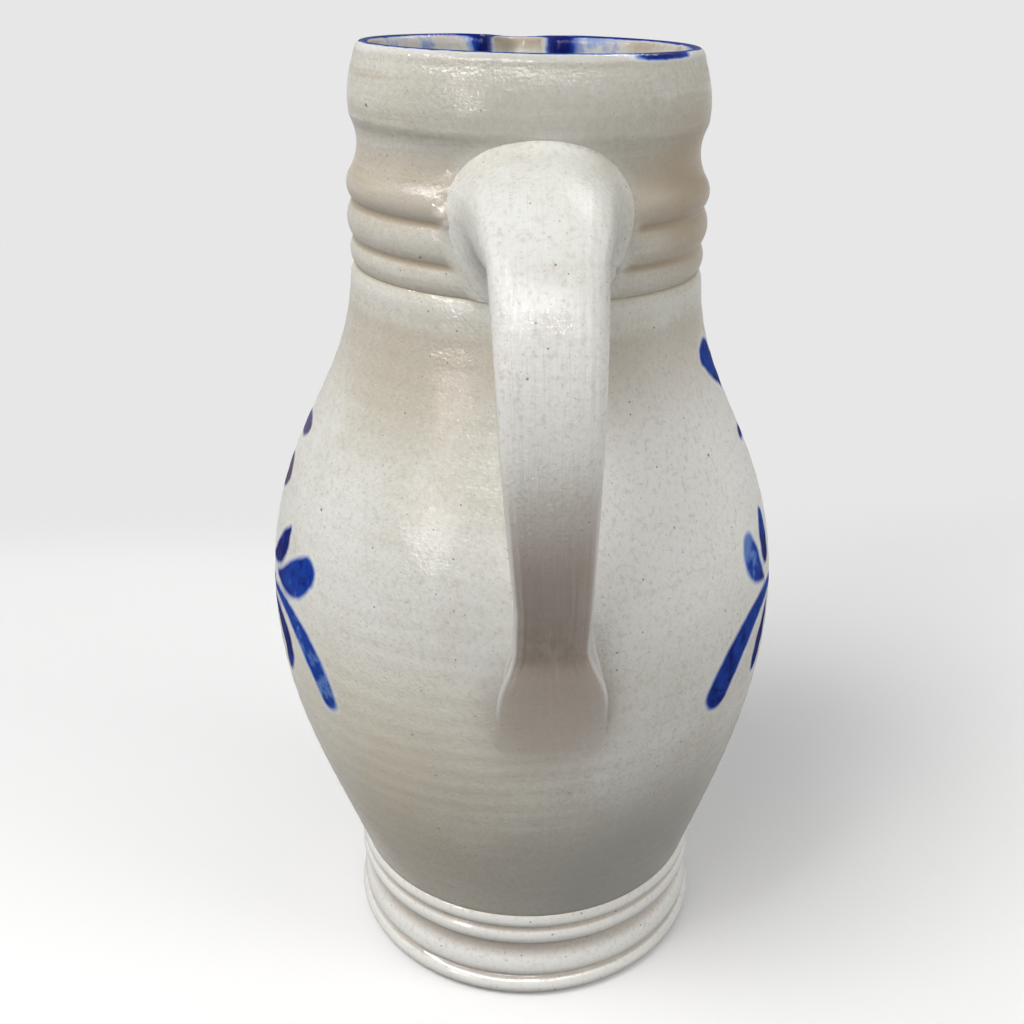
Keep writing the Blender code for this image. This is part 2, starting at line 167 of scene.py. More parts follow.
class NeckSizes(bpy.types.PropertyGroup):
    """The ribbed neck, its collar and the pouring lip."""

    radius: length("Radius", "Radius in the grooves between the ribs", 0.0484)
    wall: length("Wall", "Wall thickness", 0.0052)
    low_rib: length("Low rib", "Height of the lower rib", 0.0072)
    low_swell: length("Low swell", "How far the lower rib stands out", 0.0011)
    high_rib: length("High rib", "Height of the upper rib", 0.0100)
    high_swell: length("High swell", "How far the upper rib stands out", 0.0016)
    shoulder: length("Shoulder bead", "Height of the bead under the cove", 0.0080)
    shoulder_swell: length("Shoulder swell", "How far that bead stands out", 0.0015)
    cove: length("Cove", "Height of the cove under the collar", 0.0138)
    cove_depth: length("Cove depth", "How far the cove sinks in", 0.0018)
    collar: length("Collar", "Height of the collar band", 0.0155)
    collar_edge: length("Collar edge", "Height of the collar's soft lower edge", 0.0040)
    collar_radius: length("Collar radius", "Radius of the collar's lower edge", 0.0486)
    rim_radius: length("Rim radius", "Radius of the collar's top", 0.0463)
    rim_wall: length("Rim wall", "Thickness of the rim", 0.0048)
    rim_rise: length("Rim rise", "Height of the rim's round top", 0.0030)
    lip_reach: length("Lip reach", "Half the width of the rim that the lip takes up", 0.0260)
    lip_throw: length("Lip throw", "How far the lip is pulled out", 0.0150)
    lip_half_width: length("Lip half width", "Half the width of the pouring channel", 0.0068)
    lip_rise: length("Lip rise", "How far the lip rises over the rim", -0.0015)
    cheek_pinch: length("Cheek pinch", "How far the cheeks beside the lip are pressed in", 0.0034)
    cheek_offset: length("Cheek offset", "How far beside the lip the cheeks are", 0.0117)
    cheek_width: length("Cheek width", "Half the width of a cheek", 0.0042)
    web_height: length("Web height", "Height of the middle of the clay smoothed round the handle", 0.2480)
    web_half_width: length("Web half width", "Half the width of that clay", 0.0240)
    web_rise: length("Web rise", "How far it reaches up", 0.0150)
    web_drop: length("Web drop", "How far it reaches down", 0.0295)
    web_level: length("Web level", "How far that clay stands out of the grooves that it fills", 0.0013)
    tilt: FloatProperty(name="Tilt", description="Slope of the rim across the handle", default=0.020)


class HandleSizes(bpy.types.PropertyGroup):
    """The pulled strap and the clay worked round its ends."""

    root_height: length("Root height", "Height of the strap's root on the neck", 0.2515)
    bury: length("Bury", "How far the strap's ends reach into the wall", 0.0040)
    root_spring: length("Root spring", "How far the strap runs straight out of the neck", 0.0270)
    root_tilt: turn("Root tilt", "Upward slope of the strap at its root", 0.21)
    bend_reach: length("Bend reach", "Distance of the bend from the axis", 0.0950)
    bend_height: length("Bend height", "Height of the bend", 0.2030)
    upper_pull: length("Upper pull", "How long the strap stays upright above the bend", 0.0370)
    lower_pull: length("Lower pull", "How long the strap stays upright below the bend", 0.0280)
    tail_height: length("Tail height", "Height of the strap's tail on the belly", 0.1410)
    tail_spring: length("Tail spring", "How far the strap runs straight into the belly", 0.0160)
    tail_slope: turn("Tail slope", "Slope of the strap at its tail", 0.93)
    width: length("Width", "Width of the strap at its root", 0.0290)
    thickness: length("Thickness", "Thickness of the strap at its root", 0.0130)
    tail_width: length("Tail width", "Width of the strap at its tail", 0.0195)
    tail_thickness: length("Tail thickness", "Thickness of the strap at its tail", 0.0105)
    sway: length("Sway", "How far the strap bows aside", -0.0024)
    drift: length("Drift", "How far the tail lies aside", 0.00225)
    terminal_width: length("Terminal width", "Width of the thumbed end on the belly", 0.0300)
    terminal_height: length("Terminal height", "Height where the thumbed end is widest", 0.1110)
    terminal_drop: length("Terminal drop", "How far the thumbed end dies out below that", 0.0080)
    crotch_rise: length("Crotch rise", "How far the clay reaches up behind the strap", 0.0530)


class GlazeColours(bpy.types.PropertyGroup):
    """Colours of the fired clay, the salt glaze and the cobalt, and of the shade and light painted on them.
    """

    clay: hue("Bare clay", "Unglazed fired clay", (0.47, 0.39, 0.29))
    body: hue("Body", "Warm grey of the glazed clay", (0.60, 0.58, 0.51))
    pale: hue("Pale", "Where the glaze is thick and cool", (0.73, 0.735, 0.705))
    # Tan also stands for shade: painted shade low on the pot, and partly painted shade in grooves and the
    # cove
    tan: hue("Tan", "Where the glaze is thin or lies in a groove", (0.43, 0.355, 0.26))
    straw: hue("Straw", "Warm glaze where more of the fire reached", (0.72, 0.66, 0.52))
    # Painted shade: brownish grey on the strap's lower part and on the belly round the handle's tail
    painted_shade_brown: hue("Dusk", "Thin brownish-grey glaze low on the handle", (0.42, 0.352, 0.300))
    # Umber is partly painted shade in the deepest grooves, and painted shade in the crease at the handle's
    # tail
    umber: hue("Umber", "Bare brown clay in the deepest grooves", (0.26, 0.19, 0.13))
    # Cream also paints light on a band of the handle's strap
    cream: hue("Cream", "Thick glaze on the foot", (0.86, 0.85, 0.82))
    # Halo also paints light along the strap's lower side edges
    halo: hue("Halo", "Clear glaze round the cobalt", (0.82, 0.84, 0.84))
    # Painted shade: grey low on the right of the belly and at the front of the collar
    painted_shade_grey: hue("Smoke", "Grey glaze that the fire drew over", (0.37, 0.365, 0.34))
    iron: hue("Iron", "Specks of iron in the clay", (0.085, 0.05, 0.03))
    deep: hue("Deep cobalt", "Cobalt where it pooled", (0.001, 0.008, 0.135))
    cobalt: hue("Cobalt", "Cobalt brushed on evenly", (0.008, 0.050, 0.35))
    wash: hue("Cobalt wash", "Cobalt where it is thin", (0.13, 0.24, 0.58))
    floor: hue("Table", "Pale table under the pitcher", (0.98, 0.98, 0.98))
    distance: hue("Far table", "The table further back", (0.80, 0.80, 0.80))
    bounce: hue("Bounce", "Light that the table throws back on the pitcher", (0.075, 0.065, 0.055))


class StageSizes(bpy.types.PropertyGroup):
    """Where the camera and the lamps stand."""

    camera_turn: turn("Camera turn", "Direction of the camera beside the handle", math.radians(4.1))
    camera_reach: length("Camera reach", "Distance of the camera from the axis", 0.3331)
    camera_height: length("Camera height", "Height of the camera", 0.2996)
    camera_tilt: turn("Camera tilt", "How far the camera looks down", math.radians(24.94))
    camera_yaw: turn("Camera yaw", "How far it looks to the right of the axis", math.radians(-0.79))
    camera_roll: turn("Camera roll", "How far the picture is turned clockwise", math.radians(-0.08))
    lens: FloatProperty(name="Lens", description="Focal length in millimetres", default=41.16)


GROUPS = {
    "pitcher_foot": FootSizes,
    "pitcher_belly": BellySizes,
    "pitcher_neck": NeckSizes,
    "pitcher_handle": HandleSizes,
    "pitcher_glaze": GlazeColours,
    "pitcher_stage": StageSizes,
}


def settings(name):
    """One of the property groups, by its short name."""
    return getattr(bpy.context.scene, "pitcher_" + name)


# Lines that the turned pieces follow, as radius and height pairs


def eased(share):
    """A share from 0 to 1 that starts and stops gently."""
    share = np.clip(share, 0.0, 1.0)
    return share * share * (3 - 2 * share)


def arch(start, end, bulge, points=12):
    """Points after start on a low arch to end, standing out by bulge, or sunk if it is negative."""
    along = Vector(end) - Vector(start)
    out = Vector((along.y, -along.x)).normalized()
    shares = [i / points for i in range(1, points + 1)]
    return [tuple(Vector(start) + along * t + out * (4 * bulge * t * (1 - t))) for t in shares]


def bow(a, b, c, d, points=40):
    """Points after a on the cubic curve to d."""
    spots = interpolate_bezier(Vector(a), Vector(b), Vector(c), Vector(d), points + 1)
    return [tuple(spot) for spot in spots[1:]]


def even(line, gap):
    """The same line with its points a gap apart."""
    spots = np.array(line)
    run = np.concatenate([[0.0], np.cumsum(np.hypot(*np.diff(spots, axis=0).T))])
    marks = np.linspace(0.0, run[-1], max(2, round(run[-1] / gap) + 1))
    return list(zip(np.interp(marks, run, spots[:, 0]), np.interp(marks, run, spots[:, 1])))


def lifted(line, rise):
    """The same line, higher up."""
    return [(radius, height + rise) for radius, height in line]


def foot_top():
    """Height of the crease between foot and belly."""
    foot = settings("foot")
    return foot.low_bead + foot.band + foot.middle_bead + foot.top_bead


def neck_seat():
    """Height of the groove between belly and neck."""
    belly = settings("belly")
    return foot_top() + belly.lower + belly.upper


def foot_outside():
    """The foot's beads, from the table up to the belly."""
    foot = settings("foot")
    groove = foot.groove_radius
    band = foot.low_bead
    middle = band + foot.band
    top = middle + foot.middle_bead
    line = [(foot.contact_radius, 0.0)]
    line += arch(line[-1], (groove, band), foot.low_swell)
    low_pull = (groove + foot.band_swell, band + foot.band * 0.25)
    high_pull = (groove - foot.band_cove, band + foot.band * 0.60)
    line += bow(line[-1], low_pull, high_pull, (groove, middle), 24)
    line += arch(line[-1], (groove, top), foot.middle_swell)
    line += arch(line[-1], (settings("belly").seat, foot_top()), foot.top_swell)
    return line


def belly_curve(inset, seat, throat):
    """The belly's wall above the foot, with its widest place drawn in by inset."""
    belly = settings("belly")
    widest = belly.widest - inset
    top = belly.lower + belly.upper
    line = [(seat, 0.0)]
    seat_pull = (seat + belly.seat_pull * belly.seat_flare, belly.seat_pull)
    line += bow(line[-1], seat_pull, (widest, belly.lower - belly.waist_pull), (widest, belly.lower))
    throat_pull = (throat, top - belly.throat_pull)
    line += bow(line[-1], (widest, belly.lower + belly.shoulder_pull), throat_pull, (throat, top))
    return line


def belly_outside():
    """The belly's outside, with a soft edge under the neck."""
    belly = settings("belly")
    line = belly_curve(0.0, belly.seat, belly.throat)
    top = line[-1][1]
    line = [spot for spot in line if spot[1] < top - belly.throat_edge]
    line += [(belly.throat, top - belly.throat_edge), (settings("neck").radius, top)]
    return lifted(line, foot_top())


def cove_seat():
    """Height of the cove's lower edge above the neck's seat."""
    neck = settings("neck")
    return neck.low_rib + neck.high_rib + neck.shoulder


def rim_seat():
    """Height of the collar's top above the neck's seat."""
    neck = settings("neck")
    return cove_seat() + neck.cove + neck.collar


def neck_outside():
    """The ribs, the cove and the collar, from the belly up to the rim."""
    neck = settings("neck")
    line = [(neck.radius, 0.0)]
    line += arch(line[-1], (neck.radius, neck.low_rib), neck.low_swell)
    line += arch(line[-1], (neck.radius, neck.low_rib + neck.high_rib), neck.high_swell)
    line += arch(line[-1], (neck.radius, cove_seat()), neck.shoulder_swell)
    line += arch(line[-1], (neck.radius, cove_seat() + neck.cove), -neck.cove_depth)
    line += [(neck.collar_radius, cove_seat() + neck.cove + neck.collar_edge)]
    bulge = neck.rim_wall / 10
    line += arch(line[-1], (neck.rim_radius, rim_seat()), bulge)
    return lifted(line, neck_seat())


def rim_round():
    """The rim's round top, over to the inside edge."""
    neck = settings("neck")
    middle = neck.rim_radius - neck.rim_wall / 2
    steps = 14
    turns = [math.pi * i / steps for i in range(1, steps + 1)]
    line = [(middle + neck.rim_wall / 2 * math.cos(a), neck.rim_rise * math.sin(a)) for a in turns]
    return lifted(line, neck_seat() + rim_seat())


def polar(points):
    """The angles round the axis, the radii and the heights of points."""
    x, y, z = points.T
    return np.arctan2(y, x), np.hypot(x, y), z


def from_polar(angle, radius, z):
    """Points at these angles, radii and heights."""
    return np.stack([radius * np.cos(angle), radius * np.sin(angle), z], axis=1)


def ridged(sizes, run, angle):
    """How far a spiral of finger ridges stands out at a place on its run."""
    height, pitch = sizes
    return height * np.sin(math.tau * run / pitch + angle)


def from_neck(height, start, run):
    """A share that grows from a little below the neck's seat, over a run of height."""
    return eased((height - neck_seat() + start) / run)


def leaning(height):
    """How far aside the pot's middle stands at a height."""
    belly = settings("belly")
    middle = foot_top() + belly.lower + SLUMP_RISE
    spread = np.where(height < middle, SLUMP_DOWN, SLUMP_UP)
    slump = belly.lean * np.exp(-(((height - middle) / spread) ** 2))
    return slump + belly.tip * from_neck(height, *LEAN_BACK)


def slumped(points):
    """Points moved as the soft pot moved on the wheel: out of round, and leaning at the belly."""
    angle, radius, z = polar(points)
    loose = eased(z / HELD_BY_FOOT)
    bulge = OVAL * np.sin(2 * angle + 0.7 + 14 * z) + THREE_SIDED * np.sin(3 * angle - 21 * z)
    radius = radius + loose * bulge
    side = radius * np.sin(angle)
    slope = (leaning(z + MM) - leaning(z - MM)) / (2 * MM)
    slope = loose * slope + settings("neck").tilt * from_neck(z, *TILT_UP)
    return np.stack([radius * np.cos(angle), side + leaning(z), z - slope * side], axis=1)


def web_radius(height):
    """The neck's radius where the handle's clay fills its grooves."""
    neck = settings("neck")
    return neck.radius + neck.web_level * eased((neck_seat() + cove_seat() - height) / (5 * MM))


class Wall:
    """The pot's outside, as if the neck had no ribs, for what lies on it."""

    def __init__(self):
        low, high = neck_seat(), neck_seat() + cove_seat()
        line = [spot for spot in belly_outside() + neck_outside() if not low <= spot[1] <= high]
        filled = [(float(web_radius(height)), height) for height in np.linspace(low + MM, high, 24)]
        self.line = np.array(sorted(line + filled, key=lambda spot: spot[1]))

    def radius(self, height):
        """The wall's radius at a height."""
        return np.interp(height, self.line[:, 1], self.line[:, 0])

    def spots(self, angle, height, proud=0.0):
        """Points at these angles and heights, standing proud of the wall."""
        return slumped(from_polar(angle, self.radius(height) + proud, height))

    def spot(self, angle, height, proud=0.0):
        """One point at an angle and a height."""
        return Vector(self.spots(np.array([angle]), np.array([height]), proud)[0])

    def axes(self, angle, height):
        """The wall's outward, sideways and upward directions at a place."""
        slope = float(self.radius(height + MM) - self.radius(height - MM)) / (2 * MM)
        normal = Vector((math.cos(angle), math.sin(angle), -slope)).normalized()
        side = Vector((-math.sin(angle), math.cos(angle), 0.0))
        return normal, side, normal.cross(side)


# Meshes

# How far a ring sinks in where it takes the full colour of a groove, which is partly painted shade
GROOVE_DEPTH = 0.6 * MM


def read_points(mesh):
    """A mesh's points, one in a row."""
    flat = np.empty(len(mesh.vertices) * 3, np.float32)
    mesh.vertices.foreach_get("co", flat)
    return flat.reshape(-1, 3).astype(float)


def write_points(mesh, points):
    """Moves a mesh's points."""
    mesh.vertices.foreach_set("co", points.astype(np.float32).ravel())
    mesh.update()


def read_values(mesh, name):
    """One of a mesh's own values, point by point."""
    flat = np.empty(len(mesh.vertices), np.float32)
    mesh.attributes[name].data.foreach_get("value", flat)
    return flat.astype(float)


def write_values(mesh, name, values):
    """Keeps a value for each of a mesh's points."""
    layer = mesh.attributes.get(name) or mesh.attributes.new(name, "FLOAT", "POINT")
    layer.data.foreach_set("value", values.astype(np.float32))


def spin(bm, verts, edges, steps):
    """Turns a line once about the pot's axis."""
    line = verts + edges
    bmesh.ops.spin(bm, geom=line, axis=(0, 0, 1), cent=(0, 0, 0), angle=math.tau, steps=steps, use_merge=True)


def turned(outer, inner, softness, steps, reach=6):
    """A ring with these two sides, turned about Z, its outside softened and its grooves marked."""
    bm = bmesh.new()
    skin = bm.verts.layers.float.new("skin")
    recess = bm.verts.layers.float.new("recess")
    line = list(outer) + list(inner)
    verts = [bm.verts.new((radius, 0.0, height)) for radius, height in line]
    edges = [bm.edges.new(pair) for pair in zip(verts, verts[1:] + verts[:1])]
    free = verts[2 : len(outer) - 1]
    for _ in range(softness):
        bmesh.ops.smooth_vert(bm, verts=free, factor=0.5, use_axis_x=True, use_axis_y=True, use_axis_z=True)
    radii = np.array([vert.co.x for vert in verts[: len(outer)]])
    around = np.pad(radii, reach, mode="edge")
    level = np.convolve(around, np.ones(2 * reach + 1) / (2 * reach + 1), mode="valid")
    for vert, radius, middle in zip(verts, radii, level):
        vert[skin] = 1.0
        vert[recess] = (middle - radius) / GROOVE_DEPTH
    spin(bm, verts, edges, steps)
    return bm


def piece_from(bm, name, nodes, shaping=None):
    """A finished piece that rides on the pot in place of its solids."""
    bmesh.ops.remove_doubles(bm, verts=bm.verts, dist=WELD)
    bmesh.ops.recalc_face_normals(bm, faces=bm.faces)
    mesh = bpy.data.meshes.new(name)
    bm.to_mesh(mesh)
    bm.free()
    mesh.shade_smooth()
    if shaping:
        shaping(mesh)
    piece = bpy.data.objects.new(name, mesh)
    bpy.context.scene.collection.objects.link(piece)
    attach(piece, "root")
    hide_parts(*nodes)
    return piece


# Cobalt strokes: points as degrees from the handle and millimetres up, half widths, colour at both ends
LEFT_STROKES = [
    ([(-94, 176), (-84, 177.2), (-79.3, 177.8)], [2.6, 3.4, 3.4, 1.7], (1.0, 1.05)),
    ([(-96, 158.5), (-86, 163.5), (-80, 163.6)], [4.0, 5.4, 5.0, 1.6], (1.1, 1.2)),
    ([(-80, 139.8), (-71, 143.5), (-67.6, 153.6)], [0.6, 2.6, 3.9, 3.7, 0.8], (1.25, 1.2)),
    ([(-73.5, 137.8), (-64, 138.5), (-56.2, 147)], [0.6, 2.6, 4.6, 5.7, 4.3], (1.0, 0.72)),
    ([(-83, 129), (-66, 138), (-53, 128), (-48.9, 112.8)], [1.0, 1.5, 2.4, 3.9, 4.5, 3.4], (0.80, 0.40)),
    ([(-79, 127), (-62, 124), (-68.5, 112)], [1.2, 3.6, 4.6, 4.2, 2.0], (1.2, 1.2)),
]
RIGHT_STROKES = [
    ([(66.3, 202.3), (72, 202), (80, 193)], [3.2, 5.2, 5.4, 3.4], (0.80, 1.0)),
    ([(76.5, 176.4), (79, 176.4), (84, 175.5)], [1.5, 2.0, 1.6], (1.0, 1.1)),
    ([(69, 154.6), (67.5, 149), (68, 144.3)], [2.4, 4.2, 4.4, 4.0], (0.70, 1.35)),
    ([(56.8, 151.6), (57.3, 144), (64.8, 137)], [3.6, 5.2, 4.6, 2.6, 0.6], (0.10, 1.25)),
    ([(75, 131), (60, 134.5), (49.5, 127.5), (42.3, 112.2)], [1.4, 2.2, 3.1, 4.3, 5.2, 5.3], (0.72, 0.95)),
    ([(68, 126.5), (62, 117), (60.6, 110.2)], [0.8, 3.2, 4.4, 3.2], (1.1, 1.2)),
]
# The hidden front has a plain spray, painted on one side of its stem and mirrored: degrees from its middle
FRONT_MIDDLE = 178.0
FRONT_STEM = ([(0, 74), (2, 104), (0, 132)], [1.6, 1.4, 1.2], (0.6, 0.6))
FRONT_STROKES = [
    ([(1, 92), (38, 98), (60, 120), (104, 133)], [1.0, 1.5, 1.4, 1.2], (0.5, 0.7)),
    ([(0, 132), (8, 150), (0, 176)], [1.0, 5.2, 4.6, 0.8], (0.9, 0.6)),
    ([(2, 134), (20, 142), (27, 164)], [1.0, 4.2, 4.8, 0.8], (0.9, 0.6)),
    ([(3, 131), (28, 128), (44, 142)], [0.8, 3.4, 3.8, 0.7], (0.85, 0.55)),
    ([(2, 98), (14, 84), (34, 78)], [0.8, 3.2, 3.6, 0.7], (0.7, 0.9)),
    ([(34, 104), (48, 92), (62, 86)], [0.6, 3.0, 3.4, 0.6], (0.6, 0.9)),
    ([(48, 112), (54, 128), (70, 140)], [0.6, 3.6, 3.8, 0.6], (0.9, 0.6)),
    ([(70, 124), (82, 112), (88, 100)], [0.6, 2.8, 3.2, 0.6], (0.6, 0.8)),
    ([(76, 128), (82, 144), (92, 156)], [0.6, 3.2, 3.6, 0.6], (0.9, 0.7)),
    ([(10, 186), (28, 190), (46, 184)], [0.5, 2.2, 2.6, 0.5], (0.8, 0.6)),
]
# Samples along a stroke, samples that even out its width, and how far its edge is told from its middle
STROKE_STEPS = 110
STROKE_SOFTNESS = 17
STROKE_FADE = 4.0 * MM


def front_strokes():
    """The front's strokes, mirrored about their middle and given angles from the handle."""
    sides = [(1, FRONT_STEM)] + [(side, stroke) for stroke in FRONT_STROKES for side in (-1, 1)]
    return [
        ([(FRONT_MIDDLE + side * angle, height) for angle, height in points], widths, load)
        for side, (points, widths, load) in sides
    ]


def stroke_samples(wall, points, widths):
    """Places along a stroke on the pot, and half widths there, in metres."""
    shares = np.linspace(0.0, 1.0, STROKE_STEPS)
    curve = np.array(points, float)[:, :, None]
    for _ in range(len(points) - 1):
        curve = curve[:-1] * (1 - shares) + curve[1:] * shares
    spots = wall.spots(np.radians(curve[0, 0]), curve[0, 1] * MM)
    marks = np.linspace(0.0, 1.0, len(widths))
    half = np.interp(shares, marks, widths) * MM
    wider = np.pad(half, STROKE_SOFTNESS // 2, mode="edge")
    soft = np.convolve(wider, np.ones(STROKE_SOFTNESS) / STROKE_SOFTNESS, mode="valid")
    return shares, spots, soft


def paint(mesh):
    """Writes how deep in a stroke each point lies, and how much colour the stroke holds there."""
    points = read_points(mesh)
    outside = read_values(mesh, "skin") > 0.5
    depth = np.full(len(points), -STROKE_FADE)
    load = np.zeros(len(points))
    wall = Wall()
    for path, widths, held in LEFT_STROKES + RIGHT_STROKES + front_strokes():
        shares, spots, half = stroke_samples(wall, path, widths)
        reach = half.max() + STROKE_FADE
        near = (points > spots.min(0) - reach) & (points < spots.max(0) + reach)
        index = np.nonzero(np.all(near, axis=1) & outside)[0]
        if not len(index):
            continue
        gaps = np.linalg.norm(points[index, None, :] - spots[None, :, :], axis=2)
        inside = half[None, :] - gaps
        best = inside.argmax(axis=1)
        deepest = inside[np.arange(len(index)), best]
        better = deepest > depth[index]
        index, best, deepest = index[better], best[better], deepest[better]
        depth[index] = deepest
        load[index] = held[0] + (held[1] - held[0]) * shares[best]
    write_values(mesh, "cobalt", np.clip(0.5 + 0.5 * depth / STROKE_FADE, 0.0, 1.0))
    write_values(mesh, "load", load)


# Pieces


def make_floor():
    """The bare floor slab, with the spiral that the potter's finger leaves on it."""
    foot = settings("foot")
    bm = bmesh.new()
    edge = 0.7 * MM
    chamfer = 0.6 * MM
    bore = foot.floor_radius - edge
    corner = (foot.floor_radius, foot.floor)
    top = even([(0.0, foot.floor), (bore, foot.floor)], edge)
    side = bow((bore, foot.floor), corner, corner, (foot.floor_radius, foot.floor - edge), 5)
    rim = [(foot.floor_radius, foot.ledge), (foot.boss_radius, foot.ledge), (foot.boss_radius, chamfer)]
    base = even([(foot.boss_radius - chamfer, 0.0), (0.0, 0.0)], 4 * MM)
    verts = [bm.verts.new((radius, 0.0, height)) for radius, height in top + side + rim + base]
    edges = [bm.edges.new(pair) for pair in zip(verts, verts[1:])]
    spin(bm, verts, edges, FLOOR_STEPS)

    def shaping(mesh):
        points = read_points(mesh)
        angle, radius, z = polar(points)
        upper = (z > foot.floor - 0.1 * MM) * eased((bore - radius) / (3 * MM)) * eased(radius / (4 * MM))
        points[:, 2] += upper * (ridged(FLOOR_SPIRAL, radius, -angle) - FLOOR_SINK)
        write_points(mesh, points)

    return piece_from(bm, "bare_floor", ["floor_slab"], shaping)


def make_foot():
    """The beaded foot ring, with its ledge for the floor and its lap under the belly."""
    foot = settings("foot")
    top = foot_top()
    lap = (settings("belly").seat + foot.bore) / 2
    outer = even(foot_outside(), FINE_GAP)
    boss = foot.boss_radius + SLIP
    ledge = foot.ledge - SLIP
    inner = [(lap + SLIP, top - 0.2 * MM), (lap + SLIP, top - LAP_ROOM), (foot.bore, top - LAP_ROOM)]
    inner += [(foot.bore, ledge), (boss, ledge), (boss, 0.0)]
    bm = turned(outer, inner, softness=3, steps=FOOT_STEPS, reach=10)

    def shaping(mesh):
        write_points(mesh, slumped(read_points(mesh)))

    return piece_from(bm, "beaded_foot", ["foot_ring"], shaping)


def make_belly():
    """The thrown belly, with finger ridges inside and brushwork outside."""
    belly = settings("belly")
    neck = settings("neck")
    foot = settings("foot")
    low, high = foot_top(), neck_seat()
    bore = neck.radius - neck.wall
    lap_low = (belly.seat + foot.bore) / 2
    lap_high = neck.radius - neck.wall / 2
    low_edge = low - 0.5 * MM
    high_edge = high + 0.4 * MM
    outer = [(belly.seat - 0.9 * MM, low_edge)] + even(belly_outside(), BELLY_GAP)
    outer += [(neck.radius - 0.5 * MM, high_edge)]
    inside = even(belly_curve(belly.wall, foot.bore, bore), INSIDE_GAP)
    inner = [(lap_high, high_edge), (lap_high, high + LAP), (bore, high + LAP)]
    inner += lifted(inside[::-1], low)
    inner += [(foot.bore, low - LAP), (lap_low, low - LAP), (lap_low, low_edge)]
    bm = turned(outer, inner, softness=1, steps=BELLY_STEPS)

    def shaping(mesh):
        points = read_points(mesh)
        angle, radius, z = polar(points)
        within = read_values(mesh, "skin") < 0.5
        open_wall = eased((z - low - 2 * MM) / (8 * MM)) * eased((high - 2 * MM - z) / (8 * MM))
        ridges = np.where(within, ridged(BELLY_INSIDE, z, angle), ridged(BELLY_OUTSIDE, z, -angle))
        moved = radius + ridges * open_wall
        under = ~within & (z > high - belly.throat_edge - 0.1 * MM)
        moved = np.where(under, belly.throat + (moved - belly.throat) * web_mask(points), moved)
        write_points(mesh, slumped(from_polar(angle, moved, z)))
        paint(mesh)

    return piece_from(bm, "thrown_belly", ["belly"], shaping)


def web_mask(points):
    """0 where the handle's clay was smoothed over the ribs, 1 away from it."""
    neck = settings("neck")
    angle, _, height = polar(points)
    across = angle * neck.radius / neck.web_half_width
    rise = height - neck.web_height
    along = np.where(rise > 0, rise / neck.web_rise, rise / neck.web_drop)
    return eased((np.hypot(across, along) - 1.0) / WEB_EDGE)


# Crumbs of clay and nicks left on the neck: degrees, millimetres up, radius and height in millimetres
CRUMBS = [
    (-29.5, 244.0, 1.3, 0.9),
    (-27.5, 242.2, 0.9, 0.6),
    (23.5, 232.3, 1.0, 0.7),
    (25.0, 231.0, 0.8, -0.5),
]


def pulled_lip(points, seat):
    """Points of the collar moved as the potter's fingers pull out the lip and pinch its cheeks."""
    neck = settings("neck")
    x, y, z = points.T
    aside = (neck.rim_radius - neck.rim_wall) * np.arctan2(y, -x)
    share = (z - seat - cove_seat()) / (rim_seat() + neck.rim_rise - cove_seat())
    room = np.clip(1 - (aside / neck.lip_reach) ** 4, 0.0, 1.0)
    lift = eased(share) * room
    pull = lift * np.exp(-((aside / neck.lip_half_width) ** 2))
    pinch = lift * np.exp(-(((np.abs(aside) - neck.cheek_offset) / neck.cheek_width) ** 2))
    radius = np.hypot(x, y)
    grown = (radius + neck.lip_throw * pull - neck.cheek_pinch * pinch) / radius
    return np.stack([x * grown, y * grown, z + neck.lip_rise * pull], axis=1), pull, pinch


def rim_wash(angle, radius, z, outside, pull, pinch):
    """How much cobalt lies on the rim, runs down inside it and shows in a streak on its outer edge."""
    neck = settings("neck")
    rim = neck_seat() + rim_seat()
    inward = ~outside | (radius < neck.rim_radius - 0.6 * neck.rim_wall)
    crest = neck.rim_radius - 0.55 * neck.rim_wall
    ring = np.exp(-(((radius - crest) / RIM_LINE) ** 2)) * (z > rim - 0.5 * MM) * outside
    down = np.where(inward, np.exp(-np.clip(rim - z, 0.0, None) / WASH_RUN), 0.0)
    patchy = 0.5 + 0.3 * np.sin(5 * angle + 0.6) + 0.2 * np.sin(11 * angle - 1.3)
    wash = np.maximum(ring * (1.3 + 0.2 * patchy), down * (0.12 + 0.40 * patchy))
    wash += np.where(inward, 1.1 * pinch - 0.7 * pull, 0.0)
    beside = np.exp(-(((angle - STREAK_TURN) / STREAK_HALF) ** 4))
    streak = eased((z - rim - 0.6 * MM) / (1.6 * MM)) * beside * outside
    return np.clip(np.maximum(wash, 0.95 * streak), 0.0, 1.4)


